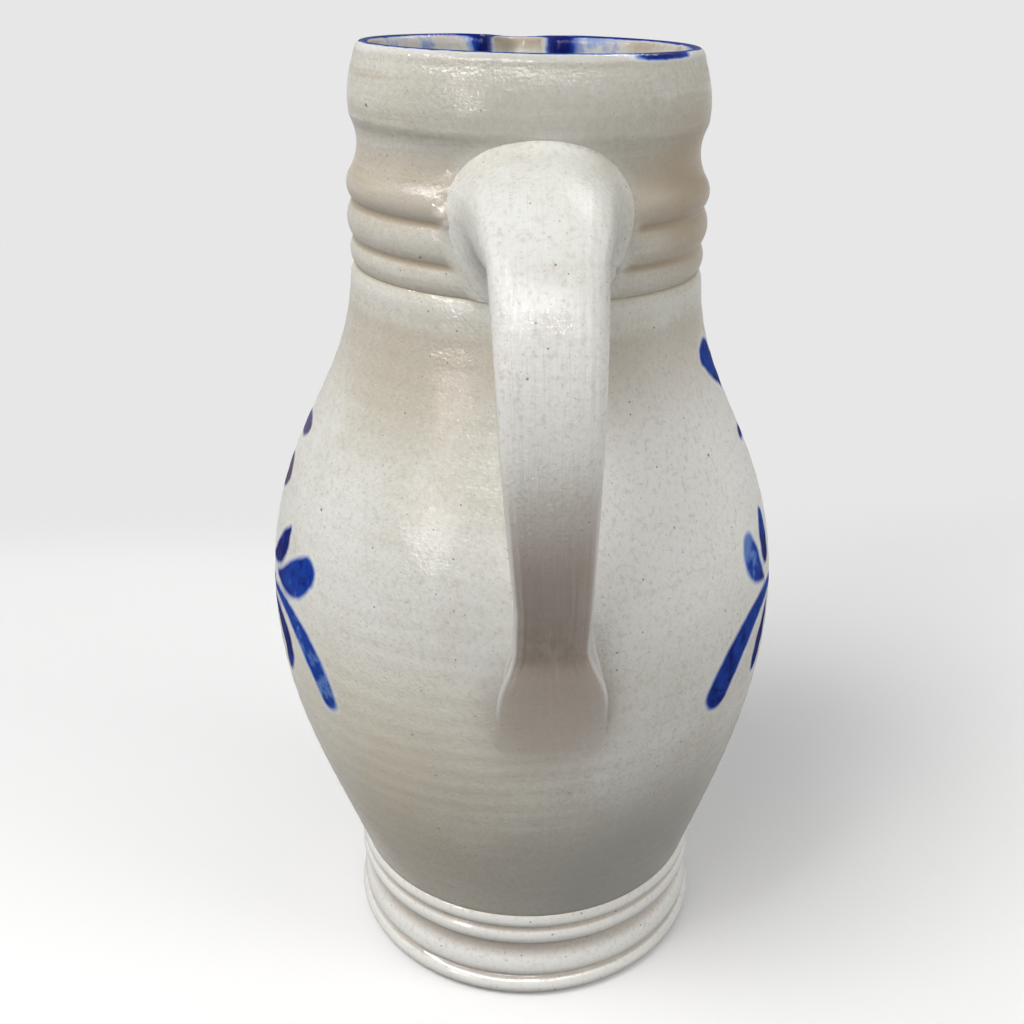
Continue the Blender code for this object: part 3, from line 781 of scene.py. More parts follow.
def make_neck():
    """The ribbed neck and collar, smoothed under the handle, with the pouring lip pulled from its rim."""
    neck = settings("neck")
    seat = neck_seat()
    rim = seat + rim_seat()
    bore = neck.radius - neck.wall
    rim_bore = neck.rim_radius - neck.rim_wall
    lap = neck.radius - neck.wall / 2 + SLIP
    outer = [(neck.radius - 0.6 * MM, seat - SLIP)] + even(neck_outside() + rim_round(), FINE_GAP)
    inner = even([(rim_bore, rim), (bore, seat + LAP_ROOM)], INSIDE_GAP / 2)[1:]
    inner += [(lap, seat + LAP_ROOM), (lap, seat - SLIP)]
    bm = turned(outer, inner, softness=2, steps=NECK_STEPS)

    def shaping(mesh):
        points = read_points(mesh)
        outside = read_values(mesh, "skin") > 0.5
        mask = np.where(outside, web_mask(points), 1.0)
        angle, radius, z = polar(points)
        plain = web_radius(z)
        ribbed = z < seat + cove_seat()
        radius = np.where(outside & ribbed, plain + (radius - plain) * mask, radius)
        for turn_at, up, size, height in CRUMBS:
            gap = np.hypot((angle - math.radians(turn_at)) * neck.radius, z - up * MM) / (size * MM)
            radius = radius + np.where(outside, height * MM * np.exp(-(gap**2)), 0.0)
        ridges = ridged(NECK_INSIDE, z, angle) * eased((rim - z) / (6 * MM))
        radius = radius + np.where(outside, 0.0, ridges)
        points, pull, pinch = pulled_lip(from_polar(angle, radius, z), seat)
        write_values(mesh, "recess", read_values(mesh, "recess") * mask)
        write_values(mesh, "web", 1.0 - mask)
        write_values(mesh, "wash", rim_wash(angle, radius, z, outside, pull, pinch))
        write_points(mesh, slumped(points))

    return piece_from(bm, "ribbed_neck", ["neck", "spout"], shaping)


def cubic(a, b, c, d, t):
    """A point on a cubic curve."""
    s = 1 - t
    return a * s**3 + b * (3 * s * s * t) + c * (3 * s * t * t) + d * t**3


class HandleShape:
    """The pulled strap's skin and the clay that joins it to the wall at both ends."""

    def __init__(self):
        self.size = settings("handle")
        self.neck = settings("neck")
        self.wall = Wall()
        size = self.size
        self.root = Vector((float(self.wall.radius(size.root_height)) - size.bury, size.root_height))
        self.tail = Vector((float(self.wall.radius(size.tail_height)) - size.bury, size.tail_height))
        self.bend = Vector((size.bend_reach, size.bend_height))
        self.spring = Vector((math.cos(size.root_tilt), math.sin(size.root_tilt))) * size.root_spring
        self.settle = Vector((math.cos(size.tail_slope), math.sin(size.tail_slope))) * size.tail_spring

    def line(self, share):
        """The middle of the strap at a share of its run."""
        size = self.size
        if share < 0.5:
            pull = self.bend + Vector((0, size.upper_pull))
            x, z = cubic(self.root, self.root + self.spring, pull, self.bend, 2 * share)
        else:
            pull = self.bend - Vector((0, size.lower_pull))
            x, z = cubic(self.bend, pull, self.tail + self.settle, self.tail, 2 * share - 1)
        return Vector((x, size.sway * math.sin(math.pi * share) + size.drift * float(eased(share)), z))

    def section(self, share, around):
        """A point on the strap's skin, with the shallow ridges of the pulling hand, and its direction."""
        size = self.size
        ahead = self.line(min(share + 0.01, 1.0)) - self.line(max(share - 0.01, 0.0))
        ahead.normalize()
        out = ahead.cross(Vector((0, 1, 0))).normalized()
        across = out.cross(ahead)
        half_width = (size.width + (size.tail_width - size.width) * float(eased(share / 0.87))) / 2
        half_depth = (size.thickness + (size.tail_thickness - size.thickness) * share) / 2
        power = 2.0 / (2.3 + 1.0 * share)
        wide = math.copysign(abs(math.cos(around)) ** power, math.cos(around))
        tall = math.copysign(abs(math.sin(around)) ** power, math.sin(around))
        ripples = math.sin(9 * math.pi * wide + 5 * share) + math.sin(14 * math.pi * wide - 4 * share)
        ridge = STRAP_RIDGE * ripples * max(0.0, math.sin(around))
        return self.line(share) + across * (half_width * wide) + out * (half_depth * tall + ridge), ahead

    def root_place(self, around, share=1.0):
        """The angle and height where the strap's skin at this side lands on the neck."""
        neck = self.neck
        reach = neck.web_rise if math.sin(around) > 0 else neck.web_drop
        angle = neck.web_half_width * math.cos(around) * share / neck.radius
        return angle, neck.web_height + reach * math.sin(around) * share

    def tail_place(self, around, share=1.0):
        """The angle and height where the strap's skin at this side lands on the belly."""
        size = self.size
        sine, cosine = math.sin(around), math.cos(around)
        rise = -size.terminal_drop * sine if sine > 0 else size.crotch_rise * abs(sine) ** 1.2
        narrow = size.tail_width / 2 + 0.7 * MM
        spread = float(eased((20 * MM - rise) / (13 * MM)))
        half = narrow + (size.terminal_width / 2 - narrow) * spread
        aside = math.copysign(abs(cosine) ** 0.45, cosine) * half * share + 1.2 * size.drift
        height = size.terminal_height + rise * share
        return aside / float(self.wall.radius(height)), height

    def root_flare(self, around, t):
        """The clay between the strap and the neck: a hump on top, hollow fillets beside and below."""
        sine, cosine = math.sin(around), math.cos(around)
        start, ahead = self.section(ROOT_SHARE, around)
        angle, height = self.root_place(around)
        end = self.wall.spot(angle, height, -0.15 * MM)
        normal, side, up = self.wall.axes(angle, height)
        tall = self.neck.web_rise if sine > 0 else self.neck.web_drop
        away = (side * cosine * self.neck.web_half_width + up * sine * tall).normalized()
        hump = max(0.0, sine) ** 2
        level = float(eased(0.5 - 0.9 * sine))
        back = (-ahead * (1 - level) - Vector((1, 0, 0)) * level).normalized()
        spread = Vector((0, 1, 0)) * (4.0 * MM * cosine)
        pull = start + back * ((15 + 4 * hump) * MM) + spread
        settle = end - away * ((7 - 3.5 * hump + 4 * max(0.0, -sine)) * MM) + normal * (2.2 * MM)
        return cubic(start, pull, settle, end, t)

    def tail_flare(self, around, t):
        """The clay between the strap and the belly: a thumbed fishtail in front, a fillet behind."""
        sine = math.sin(around)
        start, ahead = self.section(TAIL_SHARE, around)
        angle, height = self.tail_place(around)
        end = self.wall.spot(angle, height, -0.25 * MM)
        normal, side, up = self.wall.axes(angle, height)
        turn_by = math.pi * (max(0.0, -sine) - 0.5)
        away = side * math.copysign(math.cos(turn_by), math.cos(around)) + up * math.sin(turn_by)
        front = float(eased((sine + 0.35) / 0.7))
        edge = 1 - abs(sine)
        pull = start + ahead * ((8 + 13 * front + 5 * edge * front) * MM) + normal * (2.0 * MM * edge * front)
        settle = end - away * ((5 + 18 * front) * MM) + normal * ((0.4 + 0.4 * front + 2.0 * edge) * MM)
        dent = 0.40 * MM * front * abs(sine) * math.exp(-(((t - 0.34) / 0.08) ** 2))
        spot = cubic(start, pull, settle, end, t) - normal * dent
        swept = start.y + (end.y - start.y) * float(eased((t - 0.25) / 0.46))
        spot.y += (swept - spot.y) * front
        return spot

    def point(self, row, around):
        """A point of the skin: cap, root flare, strap, tail flare and cap, row by row."""
        if row < CAP_ROWS:
            share = row / CAP_ROWS
            return self.wall.spot(*self.root_place(around, share), (2.2 * share - 2.6) * MM)
        row -= CAP_ROWS
        if row < FLARE_ROWS:
            return self.root_flare(around, 1 - row / FLARE_ROWS)
        row -= FLARE_ROWS
        if row <= STRAP_ROWS:
            return self.section(ROOT_SHARE + (TAIL_SHARE - ROOT_SHARE) * row / STRAP_ROWS, around)[0]
        row -= STRAP_ROWS
        if row <= FLARE_ROWS:
            return self.tail_flare(around, row / FLARE_ROWS)
        share = 1 - (row - FLARE_ROWS) / CAP_ROWS
        return self.wall.spot(*self.tail_place(around, share), (2.2 * share - 2.6) * MM)


def make_handle():
    """The pulled strap, with its root worked into the neck and its tail thumbed on to the belly."""
    shape = HandleShape()
    rows = 2 * CAP_ROWS + 2 * FLARE_ROWS + STRAP_ROWS
    bm = bmesh.new()
    bmesh.ops.create_grid(bm, x_segments=rows, y_segments=STRAP_SIDES, size=0.5)
    across = bm.verts.layers.float.new("across")
    along = bm.verts.layers.float.new("along")
    for vert in bm.verts:
        row = round((vert.co.x + 0.5) * rows)
        around = math.tau * round((vert.co.y + 0.5) * STRAP_SIDES) / STRAP_SIDES
        vert[across] = math.cos(around)
        vert[along] = row / rows
        vert.co = shape.point(row, around)
    nodes = ["handle", "upper_luting", "lower_luting"]
    return piece_from(bm, "pulled_handle", nodes)


# Finishes

# Patterns of the clay and the glaze, as repeats in a metre
CLOUDS = 24.0
WARM_PATCHES = 38.0
SLOW_BUMPS = 70.0
GLASSY_PATCHES = 140.0
WASH_PATCHES = 150.0
# Blotches of the painted shade in the crease at the handle's tail
CREASE_SHADE_PATCHES = 160.0
BRUSH_STREAKS = 190.0
BRUSH_EDGE = 420.0
MOTTLE = 640.0
GRIT = 900.0
PEEL = 1100.0
PITS = 1500.0
FINE_PEEL = 3600.0
THROWING_STREAKS = (14, 14, 330)
THROWING_RINGS = (16, 16, 380)
WIRE_ARCS = (60, 900, 60)
STRAP_LINES = (48.0, 9.0)

# Specks of iron: repeats in a metre, size in their cell, and the share of cells that stay clean
SPECKS = [(170.0, 0.11, 0.80), (430.0, 0.16, 0.76)]

# Marks of the fire, and painted shade: place, reach of the full mark and of its last trace, strength and
# colour
BODY_MARKS = [
    ((0.0545, -0.0420, 0.064), 0.006, 0.045, 0.42, "tan"),
    ((0.0490, -0.0546, 0.098), 0.010, 0.055, 0.42, "straw"),
    ((0.0640, -0.0250, 0.100), 0.008, 0.045, 0.45, "straw"),
    ((0.0400, -0.0360, 0.197), 0.006, 0.028, 0.20, "tan"),
    # Painted shade: grey low on the right of the belly, which turns away from the lamps
    ((0.0508, 0.0324, 0.048), 0.014, 0.064, 0.85, "painted_shade_grey"),
    # Painted shade: brownish grey on the belly round the handle's tail
    ((0.0780, 0.0020, 0.119), 0.006, 0.028, 0.66, "painted_shade_brown"),
    ((0.0364, 0.0562, 0.1785), 0.0006, 0.0014, 0.90, "iron"),
]
NECK_MARKS = [
    # Painted shade: grey at the front of the collar
    ((0.0485, -0.0020, 0.264), 0.003, 0.050, 0.42, "painted_shade_grey"),
    ((0.0205, 0.0439, 0.246), 0.012, 0.034, 0.85, "tan"),
]
COBALT_MARKS = [((0.0040, -0.0690, 0.172), 0.008, 0.028, 0.42, "umber")]

# Thick glaze beside the handle: place, reach of the full glaze and of its edge, and strength
THICK_GLAZE = ((0.054, 0.038, 0.172), 0.018, 0.055, 0.95)
COAT_ROUGHNESS = 0.035


class Finish:
    """A material that is put together from nodes."""

    def __init__(self, name):
        self.material = bpy.data.materials.new(name)
        self.material.use_nodes = True
        self.tree = self.material.node_tree
        self.shader = self.tree.nodes["Principled BSDF"]
        self.place = self.add("ShaderNodeTexCoord").outputs["Object"]

    def add(self, kind, **choices):
        """A new node with these choices."""
        node = self.tree.nodes.new(kind)
        for name, choice in choices.items():
            setattr(node, name, choice)
        return node

    def feed(self, socket, value):
        """Links a socket to another one, or sets it."""
        if isinstance(value, bpy.types.NodeSocket):
            self.tree.links.new(value, socket)
        elif socket.type == "RGBA":
            socket.default_value = (*value[:3], 1.0)
        else:
            socket.default_value = value

    def stretched(self, scale):
        """The place, with its own repeats in a metre along each axis."""
        node = self.add("ShaderNodeMapping")
        self.feed(node.inputs["Vector"], self.place)
        node.inputs["Scale"].default_value = scale
        return node.outputs["Vector"]

    def noise(self, scale, detail=2.0, roughness=0.5, place=None, distortion=0.0):
        """A cloudy value from 0 to 1."""
        node = self.add("ShaderNodeTexNoise")
        self.feed(node.inputs["Vector"], place or self.place)
        node.inputs["Scale"].default_value = scale
        node.inputs["Detail"].default_value = detail
        node.inputs["Roughness"].default_value = roughness
        node.inputs["Distortion"].default_value = distortion
        return node.outputs["Fac"]

    def wobble(self, scale, detail, roughness, amount):
        """A cloudy value about 0."""
        return self.times(self.sum(self.noise(scale, detail, roughness), -0.5), amount)

    def cells(self, scale, output="Distance"):
        """The distance to the middle of the nearest cell, or that cell's own colour."""
        node = self.add("ShaderNodeTexVoronoi")
        self.feed(node.inputs["Vector"], self.place)
        node.inputs["Scale"].default_value = scale
        return node.outputs[output]

    def mark(self, name):
        """One of the piece's own values."""
        return self.add("ShaderNodeAttribute", attribute_name=name).outputs["Fac"]

    def band(self, value, low, high, start=0.0, end=1.0):
        """A value from start to end as another goes from low to high."""
        node = self.add("ShaderNodeMapRange", interpolation_type="SMOOTHSTEP")
        self.feed(node.inputs["Value"], value)
        for socket, number in zip(("From Min", "From Max", "To Min", "To Max"), (low, high, start, end)):
            node.inputs[socket].default_value = number
        return node.outputs["Result"]

    def between(self, value, rise, full, last, gone, start=0.0, most=1.0):
        """A value from start to most as another goes from rise to full, that dies out from last to gone."""
        return self.times(self.band(value, rise, full, start, most), self.band(value, gone, last))

    def height(self):
        """How far up the pot a place is."""
        node = self.add("ShaderNodeSeparateXYZ")
        self.feed(node.inputs["Vector"], self.place)
        return node.outputs["Z"]

    def near(self, spot, full, none, most):
        """A value that is most close to a spot and 0 away from it."""
        node = self.add("ShaderNodeVectorMath", operation="DISTANCE")
        self.feed(node.inputs[0], self.place)
        node.inputs[1].default_value = spot
        return self.band(node.outputs["Value"], full, none, most, 0.0)

    def sum(self, a, b, operation="ADD"):
        """Two values added up, or put together in another way."""
        node = self.add("ShaderNodeMath", operation=operation)
        self.feed(node.inputs[0], a)
        self.feed(node.inputs[1], b)
        return node.outputs["Value"]

    def times(self, a, b):
        """One value times another."""
        return self.sum(a, b, "MULTIPLY")

    def mix(self, factor, a, b):
        """A colour between two others."""
        node = self.add("ShaderNodeMix", data_type="RGBA")
        self.feed(node.inputs[0], factor)
        self.feed(node.inputs[6], a)
        self.feed(node.inputs[7], b)
        return node.outputs[2]

    def over(self, colour, value, low, high, most, tint):
        """A colour with a tint over it, from none to most of it as a value goes from low to high."""
        return self.mix(self.band(value, low, high, 0.0, most), colour, tint)

    def bump(self, height, distance, strength, normal=None):
        """A surface that is rough by a value, over another rough one."""
        node = self.add("ShaderNodeBump")
        node.inputs["Strength"].default_value = strength
        node.inputs["Distance"].default_value = distance
        self.feed(node.inputs["Height"], height)
        if normal:
            self.feed(node.inputs["Normal"], normal)
        return node.outputs["Normal"]

    def done(self, piece, colour, roughness, normal, coat):
        """Gives a piece this finish. The glass of the glaze is a coat, and the clay under it is matt."""
        self.feed(self.shader.inputs["Base Color"], colour)
        self.feed(self.shader.inputs["Roughness"], roughness)
        self.feed(self.shader.inputs["Normal"], normal)
        self.shader.inputs["Specular IOR Level"].default_value = 0.0
        self.shader.inputs["Coat Roughness"].default_value = COAT_ROUGHNESS
        self.feed(self.shader.inputs["Coat Weight"], coat)
        self.feed(self.shader.inputs["Coat Normal"], normal)
        piece.data.materials.append(self.material)


def glazed(finish, paleness, cream=0.0, streaky=1.0, grooved=1.0):
    """Glaze colour: clouds, throwing streaks, mottling, iron specks, tan grooves partly of painted shade."""
    glaze = settings("glaze")
    clouds = finish.sum(finish.noise(CLOUDS, 5.0, 0.62), finish.times(paleness, 0.45))
    colour = finish.over(glaze.body, clouds, 0.50, 1.05, 1.0, glaze.pale)
    colour = finish.over(colour, finish.noise(WARM_PATCHES, 4.0, 0.6), 0.48, 0.78, 0.24, glaze.tan)
    colour = finish.mix(cream, colour, glaze.cream)
    streaks = finish.noise(1.0, 4.0, 0.65, finish.stretched(THROWING_STREAKS))
    colour = finish.over(colour, streaks, 0.50, 0.76, 0.16 * streaky, glaze.tan)
    colour = finish.over(colour, streaks, 0.48, 0.26, 0.22 * streaky, glaze.pale)
    mottle = finish.noise(MOTTLE, 4.0, 0.7)
    colour = finish.over(colour, mottle, 0.48, 0.72, 0.34, glaze.tan)
    colour = finish.over(colour, mottle, 0.50, 0.28, 0.26, glaze.halo)
    # Tan and umber in the grooves: thin glaze there, and painted shade too
    recess = finish.mark("recess")
    colour = finish.over(colour, recess, 0.0, 0.70, 0.80 * grooved, glaze.tan)
    colour = finish.over(colour, recess, 0.45, 1.20, 0.65 * grooved, glaze.umber)
    colour = finish.over(colour, recess, -0.10, -0.80, 0.50, glaze.pale)
    colour = finish.over(colour, finish.noise(PITS, 1.0, 0.5), 0.70, 0.78, 0.45, glaze.iron)
    for scale, size, clean in SPECKS:
        chosen = finish.band(finish.cells(scale, "Color"), clean, clean + 0.04)
        speck = finish.times(finish.band(finish.cells(scale), 0.35 * size, size, 1.0, 0.0), chosen)
        colour = finish.mix(finish.times(speck, 0.78), colour, glaze.iron)
    return colour


def orange_peel(finish, strength=1.0):
    """The dimpled skin of salt glaze over slow hand-made unevenness."""
    rings = finish.noise(1.0, 3.0, 0.6, finish.stretched(THROWING_RINGS))
    normal = finish.bump(finish.noise(SLOW_BUMPS, 1.0, 0.5), 1.5 * MM, 0.08 * strength)
    normal = finish.bump(rings, 0.8 * MM, 0.08 * strength, normal)
    normal = finish.bump(finish.noise(PEEL, 2.0, 0.5), 0.4 * MM, 0.44 * strength, normal)
    return finish.bump(finish.noise(FINE_PEEL, 1.0, 0.5), 0.2 * MM, 0.06 * strength, normal)


def marked(finish, colour, marks):
    """A colour with the fire's marks and painted shade on it."""
    glaze = settings("glaze")
    for place, full, none, most, name in marks:
        colour = finish.mix(finish.near(place, full, none, most), colour, getattr(glaze, name))
    return colour


def shaded(finish, colour):
    """Glaze that is tan low on the pot, as painted shade, with the fire's marks and the painted shade in
    BODY_MARKS.
    """
    colour = finish.over(colour, finish.height(), 0.095, 0.038, 0.12, settings("glaze").tan)
    return marked(finish, colour, BODY_MARKS)


def gloss(finish):
    """Glaze that is glassier in some places than in others."""
    return finish.band(finish.noise(GLASSY_PATCHES, 3.0, 0.6), 0.35, 0.68, 0.30, 0.45)


def brushed(finish, colour, depth, load):
    """Cobalt over the glaze, thin at the brush's edge and pooled in the middle."""
    glaze = settings("glaze")
    ragged = finish.sum(depth, finish.wobble(BRUSH_EDGE, 2.0, 0.5, 0.07))
    colour = finish.over(colour, ragged, 0.20, 0.46, 0.50, glaze.halo)
    held = finish.sum(load, finish.wobble(BRUSH_STREAKS, 3.0, 0.6, 1.8))
    held = finish.sum(held, finish.band(ragged, 0.42, 0.62, -0.45, 0.0))
    ink = finish.over(glaze.wash, held, 0.15, 0.58, 1.0, glaze.cobalt)
    ink = finish.over(ink, held, 0.65, 1.30, 1.0, glaze.deep)
    ink = marked(finish, ink, COBALT_MARKS)
    return finish.over(colour, ragged, 0.32, 0.60, 1.0, ink)


def bare_clay(piece):
    """Unglazed fired clay with the wire's arcs underneath."""
    glaze = settings("glaze")
    finish = Finish("bare_stoneware")
    colour = finish.over(glaze.clay, finish.noise(40.0, 4.0, 0.6), 0.3, 0.7, 1.0, glaze.tan)
    colour = finish.over(colour, finish.noise(GRIT, 2.0, 0.6), 0.45, 0.75, 0.5, glaze.body)
    speck = finish.band(finish.cells(260.0), 0.04, 0.12, 0.7, 0.0)
    colour = finish.mix(finish.times(speck, finish.band(finish.noise(90.0), 0.5, 0.6)), colour, glaze.iron)
    arcs = finish.noise(1.0, 3.0, 0.6, finish.stretched(WIRE_ARCS), 0.4)
    normal = finish.bump(arcs, 0.6 * MM, 0.5)
    normal = finish.bump(finish.noise(PITS, 2.0, 0.6), 0.3 * MM, 0.5, normal)
    dryness = finish.band(finish.noise(500.0), 0.3, 0.7, 0.70, 0.92)
    finish.done(piece, colour, dryness, normal, coat=0.0)


def foot_glaze(piece):
    """Thick glossy glaze that ran down on to the foot's beads."""
    finish = Finish("foot_glaze")
    colour = glazed(finish, 1.0, cream=0.85, grooved=0.42)
    finish.done(piece, colour, gloss(finish), orange_peel(finish, 0.15), coat=0.6)


def body_glaze(piece):
    """Salt glaze with cobalt brushwork."""
    finish = Finish("body_glaze")
    up = finish.height()
    paleness = finish.sum(finish.band(up, 0.06, 0.125, 0.45, 0.95), finish.band(up, 0.15, 0.21, 0.0, -0.65))
    colour = shaded(finish, glazed(finish, paleness, finish.near(*THICK_GLAZE), streaky=0.5))
    colour = brushed(finish, colour, finish.mark("cobalt"), finish.mark("load"))
    coat = finish.band(finish.mark("cobalt"), 0.42, 0.55, 0.40, 0.07)
    finish.done(piece, colour, gloss(finish), orange_peel(finish), coat)


def neck_glaze(piece):
    """Salt glaze tan in the cove, partly painted shade, with a cobalt wash over the rim and down inside it.
    """
    glaze = settings("glaze")
    finish = Finish("neck_glaze")
    colour = glazed(finish, finish.band(finish.mark("web"), 0.0, 1.0, 0.35, 0.65), streaky=3.0)
    # The fire's marks, and painted grey shade at the front of the collar
    colour = marked(finish, colour, NECK_MARKS)
    # Tan band in the cove under the collar: thin glaze there, and painted shade too
    cove = finish.between(finish.height(), 0.236, 0.246, 0.252, 0.260, 0.20, 0.48)
    colour = finish.mix(cove, colour, glaze.tan)
    patch = finish.sum(finish.mark("wash"), finish.wobble(WASH_PATCHES, 4.0, 0.65, 0.8))
    colour = finish.over(colour, patch, 0.10, 0.40, 0.45, glaze.halo)
    colour = finish.over(colour, patch, 0.32, 0.52, 0.75, glaze.wash)
    colour = finish.over(colour, patch, 0.50, 0.70, 1.0, glaze.cobalt)
    colour = finish.over(colour, patch, 0.66, 0.95, 1.0, glaze.deep)
    finish.done(piece, colour, gloss(finish), orange_peel(finish), coat=0.45)


def handle_glaze(piece):
    """Glossy glaze over the long fine lines of a pulled strap."""
    glaze = settings("glaze")
    finish = Finish("handle_glaze")
    along = finish.mark("along")
    across = finish.mark("across")
    root = finish.band(along, 0.05, 0.26, 0.65, 1.0)
    paleness = finish.sum(root, finish.band(along, 0.76, 0.92, 0.0, -0.20))
    # Painted light: a paler band down the strap's upper run
    cream = finish.between(along, 0.28, 0.37, 0.43, 0.54, most=0.60)
    colour = shaded(finish, glazed(finish, paleness, cream))
    strap = finish.between(along, 0.05, 0.20, 0.84, 0.95)
    # Painted shade: the strap's lower part, which faces down, darkened towards brownish grey
    shade = finish.times(finish.band(along, 0.45, 0.66, 0.0, 0.85), strap)
    colour = finish.mix(shade, colour, glaze.painted_shade_brown)
    # Painted shade: a blotchy dark band in the crease where the strap bends into its tail
    crease_shade = finish.band(finish.noise(CREASE_SHADE_PATCHES, 3.0, 0.6), 0.35, 0.62, 0.15, 0.48)
    crease_shade = finish.times(finish.between(along, 0.755, 0.805, 0.815, 0.86), crease_shade)
    colour = finish.mix(crease_shade, colour, glaze.umber)
    fibre = finish.add("ShaderNodeCombineXYZ")
    for axis, value, repeats in zip("XY", (across, along), STRAP_LINES):
        finish.feed(fibre.inputs[axis], finish.times(value, repeats))
    lines = finish.noise(1.0, 4.0, 0.65, fibre.outputs["Vector"])
    colour = finish.mix(finish.times(finish.band(lines, 0.50, 0.72, 0.0, 0.22), strap), colour, glaze.tan)
    colour = finish.mix(finish.times(finish.band(lines, 0.46, 0.30, 0.0, 0.12), strap), colour, glaze.halo)
    # Painted light: pale lines along the strap's side edges low down, where they would catch the light
    edge_light = finish.band(finish.sum(across, 0.0, "ABSOLUTE"), 0.80, 0.93)
    edge_light = finish.times(edge_light, finish.between(along, 0.45, 0.62, 0.89, 0.94, most=0.60))
    colour = finish.mix(edge_light, colour, glaze.halo)
    normal = finish.bump(lines, 0.5 * MM, 0.18, orange_peel(finish))
    finish.done(piece, colour, gloss(finish), normal, coat=0.45)


# Stage

# Lamps that light the pot: degrees left of the camera and up, watts and tint
LAMP_REACH = 1.3
LAMP_SIZE = 0.60
LAMPS = [
    ("key", 55, 56, 9.6, (1.0, 0.992, 0.978)),
    ("left_fill", 41, 12, 3.0, (1.0, 0.97, 0.92)),
    ("top_fill", 30, 50, 2.0, (1.0, 0.99, 0.97)),
    ("right_side", -70, 14, 6.4, (1.0, 0.985, 0.955)),
]
# Windows that only gleam in the glaze: degrees left and up, distance, width, height, watts and tint
WHITE = (1.0, 1.0, 1.0)
WINDOWS = [
    ("warm_window", 43, 17.5, 1.2, 0.05, 0.07, 3.6, (1.0, 0.86, 0.70)),
    ("cool_window", 36, 16.5, 1.2, 0.05, 0.10, 2.4, (0.86, 0.93, 1.0)),
    ("high_window", 0, 45, 1.1, 0.22, 0.035, 6.0, (0.95, 0.98, 1.0)),
    ("skylight", 30, 130, 1.1, 0.40, 0.10, 3.0, WHITE),
    ("far_left_strip", 66, 42, 1.1, 0.70, 0.05, 6.5, WHITE),
    ("near_left_strip", 30, 42, 1.1, 0.70, 0.05, 6.5, WHITE),
    ("near_right_strip", -30, 42, 1.1, 0.70, 0.05, 3.0, WHITE),
]
LAMP_AIM = Vector((0.0, 0.0, 0.15))
ROOM_COLOUR = (0.97, 0.98, 1.0, 1.0)
ROOM_LIGHT = 0.38

# Half the table's width, and where behind the pot it starts and ends to fade
TABLE_HALF = 20.0
TABLE_FADE = (-0.24, -0.33)


def camera_axes():
    """The camera's right, up and backward directions."""
    stage = settings("stage")
    forward = Vector((-math.cos(stage.camera_turn), math.sin(stage.camera_turn), 0.0))
    right = Vector((math.sin(stage.camera_turn), math.cos(stage.camera_turn), 0.0))
    ahead = forward * math.cos(stage.camera_yaw) + right * math.sin(stage.camera_yaw)
    right = right * math.cos(stage.camera_yaw) - forward * math.sin(stage.camera_yaw)
    up = Vector((0, 0, 1)) * math.cos(stage.camera_tilt) + ahead * math.sin(stage.camera_tilt)
    look = ahead * math.cos(stage.camera_tilt) - Vector((0, 0, 1)) * math.sin(stage.camera_tilt)
    turned_right = right * math.cos(stage.camera_roll) + up * math.sin(stage.camera_roll)
    turned_up = up * math.cos(stage.camera_roll) - right * math.sin(stage.camera_roll)
    return turned_right, turned_up, -look


def set_camera():
    """The camera, a little beside the handle and above the rim."""
    stage = settings("stage")
    data = bpy.data.cameras.new("camera")
    data.lens = stage.lens
    data.sensor_width = 36.0
    data.clip_start = 0.01
    camera = bpy.data.objects.new("camera", data)
    bpy.context.scene.collection.objects.link(camera)
    spot = Vector((math.cos(stage.camera_turn), -math.sin(stage.camera_turn), 0.0)) * stage.camera_reach
    spot.z = stage.camera_height
    camera.matrix_world = Matrix.Translation(spot) @ Matrix(camera_axes()).transposed().to_4x4()
    bpy.context.scene.camera = camera


def lamp(name, turn_left, rise, reach, width, height, power, tint, gleam):
    """A soft lamp, left of the camera and up, that lights the pot or only gleams in its glaze."""
    data = bpy.data.lights.new(name, "AREA")
    data.shape = "RECTANGLE"
    data.size = width
    data.size_y = height
    data.energy = power
    data.color = tint
    bulb = bpy.data.objects.new(name, data)
    bpy.context.scene.collection.objects.link(bulb)
    angle = -settings("stage").camera_turn - math.radians(turn_left)
    lift = math.radians(rise)
    way = Vector((math.cos(angle) * math.cos(lift), math.sin(angle) * math.cos(lift), math.sin(lift)))
    bulb.visible_glossy = gleam
    bulb.visible_diffuse = not gleam
    bulb.location = LAMP_AIM + way * reach
    bulb.rotation_euler = way.to_track_quat("Z", "Y").to_euler()


